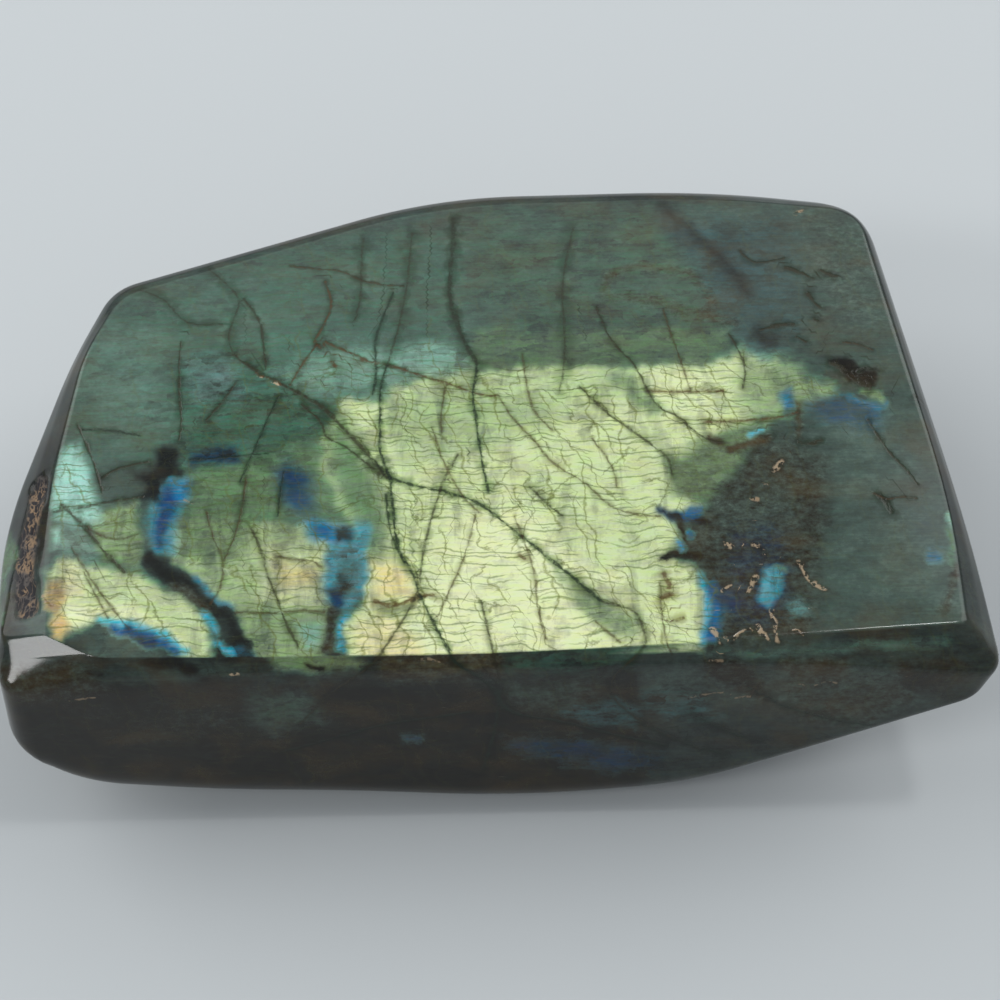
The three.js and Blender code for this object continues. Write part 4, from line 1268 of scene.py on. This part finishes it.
def layPatch(tree, inMm, bent, colour):
    # the rough patch: a tan net over dark pits; the pale strands are partly painted highlights and the dark
    # between them partly painted shade in the pits, over the matrix's own colours
    patch = field(tree, "roughPatch")
    toEdge = node(tree, "ShaderNodeTexVoronoi", {
        "Vector": stretched(tree, bent, net), "Scale": 1.0}, feature="DISTANCE_TO_EDGE").outputs["Distance"]
    strand = between(tree, toEdge, patches(tree, inMm, "strand width"), net["rim"])
    strandColour = blend(
        tree, patches(tree, inMm, "strand colour"), shade(*finish["patchGrey"]), shade(*finish["patchNet"]))
    ragged = moved(tree, patch, inMm, ("patch edge",))
    cover = times(tree, strengthOf(tree, "patch", ragged), patch)
    colour = blend(tree, cover, colour, blend(tree, strand, shade(*finish["patchDark"]), strandColour))
    return colour, patch, strand


def makeStoneMaterial():
    material = bpy.data.materials.new("polishedLabradorite")
    material.use_nodes = True
    tree = material.node_tree
    surface = tree.nodes["Principled BSDF"]
    place = node(tree, "ShaderNodeTexCoord").outputs["Object"]
    inMm = vectorMaths(tree, "SCALE", {0: place, "Scale": 1 / mm})
    bend = noiseAt(tree, inMm, cellBend["scale"], cellBend["detail"], cellBend["rough"], "Color")
    bent = vectorMaths(tree, "MULTIPLY_ADD", {0: bend, 1: cellBend["by"], 2: inMm})
    glowHere = field(tree, "glow")
    glow = glowBrokenUp(tree, inMm, bent, glowHere)
    colour = blend(tree, glow, rockColour(tree, inMm), flashColours(tree, inMm))
    colour, relief = layCracks(tree, inMm, glowHere, colour)
    colour = laySpots(tree, inMm, glowHere, colour)
    colour, relief = layVeins(tree, inMm, colour, relief)
    colour, patch, strand = layPatch(tree, inMm, bent, colour)
    tree.links.new(colour, surface.inputs["Base Color"])
    roughness = strengthOf(tree, "roughness", glow)
    roughness = maths(tree, "MULTIPLY_ADD", patch, finish["patchRoughness"], roughness)
    tree.links.new(roughness, surface.inputs["Roughness"])
    height = maths(tree, "MULTIPLY_ADD", times(tree, strand, patch), finish["strandRelief"], relief)
    bump = node(tree, "ShaderNodeBump", {"Height": height} | finish["bump"])
    tree.links.new(bump.outputs["Normal"], surface.inputs["Normal"])
    surface.inputs["IOR"].default_value = finish["refraction"]
    surface.inputs["Specular IOR Level"].default_value = finish["specular"]
    return material


stoneMaterial = makeStoneMaterial()
print("finish made")


# The relief of the rough patch, by Geometry Nodes on the finished surface, in millimetres.
relief = {"Pit depth": 0.75, "Pit size": 2.0, "Fibre depth": 0.22, "Fibre size": 0.7, "Seed": 4.0}
reliefGrain = (1.0, 0.45, 0.8)  # the pits and fibres are drawn out along the bevel
pitsFrom, pitsTo = 0.45, 0.62  # the heights of the noise between which a pit deepens


def makeReliefTree():
    tree = bpy.data.node_groups.new("roughPatchRelief", "GeometryNodeTree")
    tree.interface.new_socket("Geometry", in_out="INPUT", socket_type="NodeSocketGeometry")
    for label, value in relief.items():
        tree.interface.new_socket(label, in_out="INPUT", socket_type="NodeSocketFloat").default_value = value
    tree.interface.new_socket("Material", in_out="INPUT", socket_type="NodeSocketMaterial")
    tree.interface.new_socket("Geometry", in_out="OUTPUT", socket_type="NodeSocketGeometry")
    given, result = node(tree, "NodeGroupInput").outputs, node(tree, "NodeGroupOutput").inputs
    patch = node(tree, "GeometryNodeInputNamedAttribute", {"Name": "roughPatch"}, data_type="FLOAT")
    position = node(tree, "GeometryNodeInputPosition").outputs[0]
    normal = node(tree, "GeometryNodeInputNormal").outputs[0]
    inMm = vectorMaths(tree, "SCALE", {0: position, "Scale": 1 / mm})
    along = vectorMaths(tree, "MULTIPLY", {0: inMm, 1: reliefGrain})

    def noiseOf(size, detail):
        scale = maths(tree, "DIVIDE", 1.0, given[size])
        inputs = {"Vector": along, "Scale": scale, "Detail": detail, "W": given["Seed"]}
        return node(tree, "ShaderNodeTexNoise", inputs, noise_dimensions="4D").outputs[0]

    pits = node(tree, "ShaderNodeMapRange", {
        "Value": noiseOf("Pit size", 1.0), "From Min": pitsFrom, "From Max": pitsTo}).outputs["Result"]
    depth = times(tree, pits, given["Pit depth"])
    depth = maths(tree, "ADD", depth, times(tree, noiseOf("Fibre size", 2.0), given["Fibre depth"]))
    inwards = times(tree, times(tree, depth, patch.outputs[0]), -mm)
    offset = vectorMaths(tree, "SCALE", {0: normal, "Scale": inwards})
    pressed = node(tree, "GeometryNodeSetPosition", {"Geometry": given["Geometry"], "Offset": offset})
    real = node(tree, "GeometryNodeRealizeInstances", {"Geometry": pressed.outputs[0]})
    dressed = node(tree, "GeometryNodeSetMaterial", {
        "Geometry": real.outputs[0], "Material": given["Material"]})
    tree.links.new(dressed.outputs[0], result["Geometry"])
    return tree


def finishStone():
    stoneBody.data.materials.append(stoneMaterial)
    tree = makeReliefTree()
    modifier = stoneBody.modifiers.new("relief", "NODES")
    modifier.node_group = tree
    for item in tree.interface.items_tree:
        if item.in_out == "INPUT" and item.name in relief:
            modifier[item.identifier] = relief[item.name]
        elif item.in_out == "INPUT" and item.name == "Material":
            modifier[item.identifier] = stoneMaterial
    evaluated = stoneBody.evaluated_get(bpy.context.evaluated_depsgraph_get())
    mesh = bpy.data.meshes.new_from_object(evaluated)
    stoneBody.modifiers.remove(modifier)
    stoneBody.data = mesh
    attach(stoneBody, "root")
    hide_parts("stone")
    print("stone finished:", len(mesh.vertices), "points")


finishStone()


# The floor and the studio light. Places and sizes are in metres, and powers in watts.
floorLook = {"size": 6.0, "colour": (197, 202, 204), "roughness": 0.8}
lights = [
    {"name": "softbox behind", "at": (0.0, 0.56, 0.44), "size": (1.2, 0.46), "power": 1.0,
     "aim": (0.0, 0.0, 0.04)},
    {"name": "key, back left", "at": (-0.95, 0.5, 1.0), "size": (1.0, 1.0), "power": 6.9, "aim": (0, 0, 0)},
    {"name": "key, back right", "at": (0.95, 0.5, 1.0), "size": (1.0, 1.0), "power": 6.9, "aim": (0, 0, 0)},
    {"name": "corner light", "at": (-0.70, -0.38, 0.745), "size": (0.24, 0.24), "power": 2.2,
     "aim": (-0.07, -0.04, 0.04)},
    {"name": "rim light", "at": (0.29, 0.16, 0.99), "size": (0.10, 0.10), "power": 1.2,
     "aim": (0.06, -0.03, 0.04)},
]
worldLook = {"colour": (0.90, 0.95, 1.0, 1.0), "strength": 0.345}


def makeFloor():
    bpy.ops.mesh.primitive_plane_add(size=floorLook["size"])
    floor = bpy.context.object
    floor.name = "floor"
    material = bpy.data.materials.new("paleFloor")
    material.use_nodes = True
    surface = material.node_tree.nodes["Principled BSDF"]
    surface.inputs["Base Color"].default_value = shade(*floorLook["colour"])
    surface.inputs["Roughness"].default_value = floorLook["roughness"]
    floor.data.materials.append(material)


def makeLights():
    for spec in lights:
        data = bpy.data.lights.new(spec["name"], "AREA")
        data.shape = "RECTANGLE"
        data.size, data.size_y = spec["size"]
        data.energy = spec["power"]
        lamp = bpy.data.objects.new(spec["name"], data)
        lamp.location = spec["at"]
        towards = Vector(spec["aim"]) - Vector(spec["at"])
        lamp.rotation_euler = towards.to_track_quat("-Z", "Y").to_euler()
        scene.collection.objects.link(lamp)
    world = bpy.data.worlds.new("studio")
    world.use_nodes = True
    backdrop = world.node_tree.nodes["Background"]
    backdrop.inputs["Color"].default_value = worldLook["colour"]
    backdrop.inputs["Strength"].default_value = worldLook["strength"]
    scene.world = world


makeFloor()
makeLights()
print("floor and lights placed")
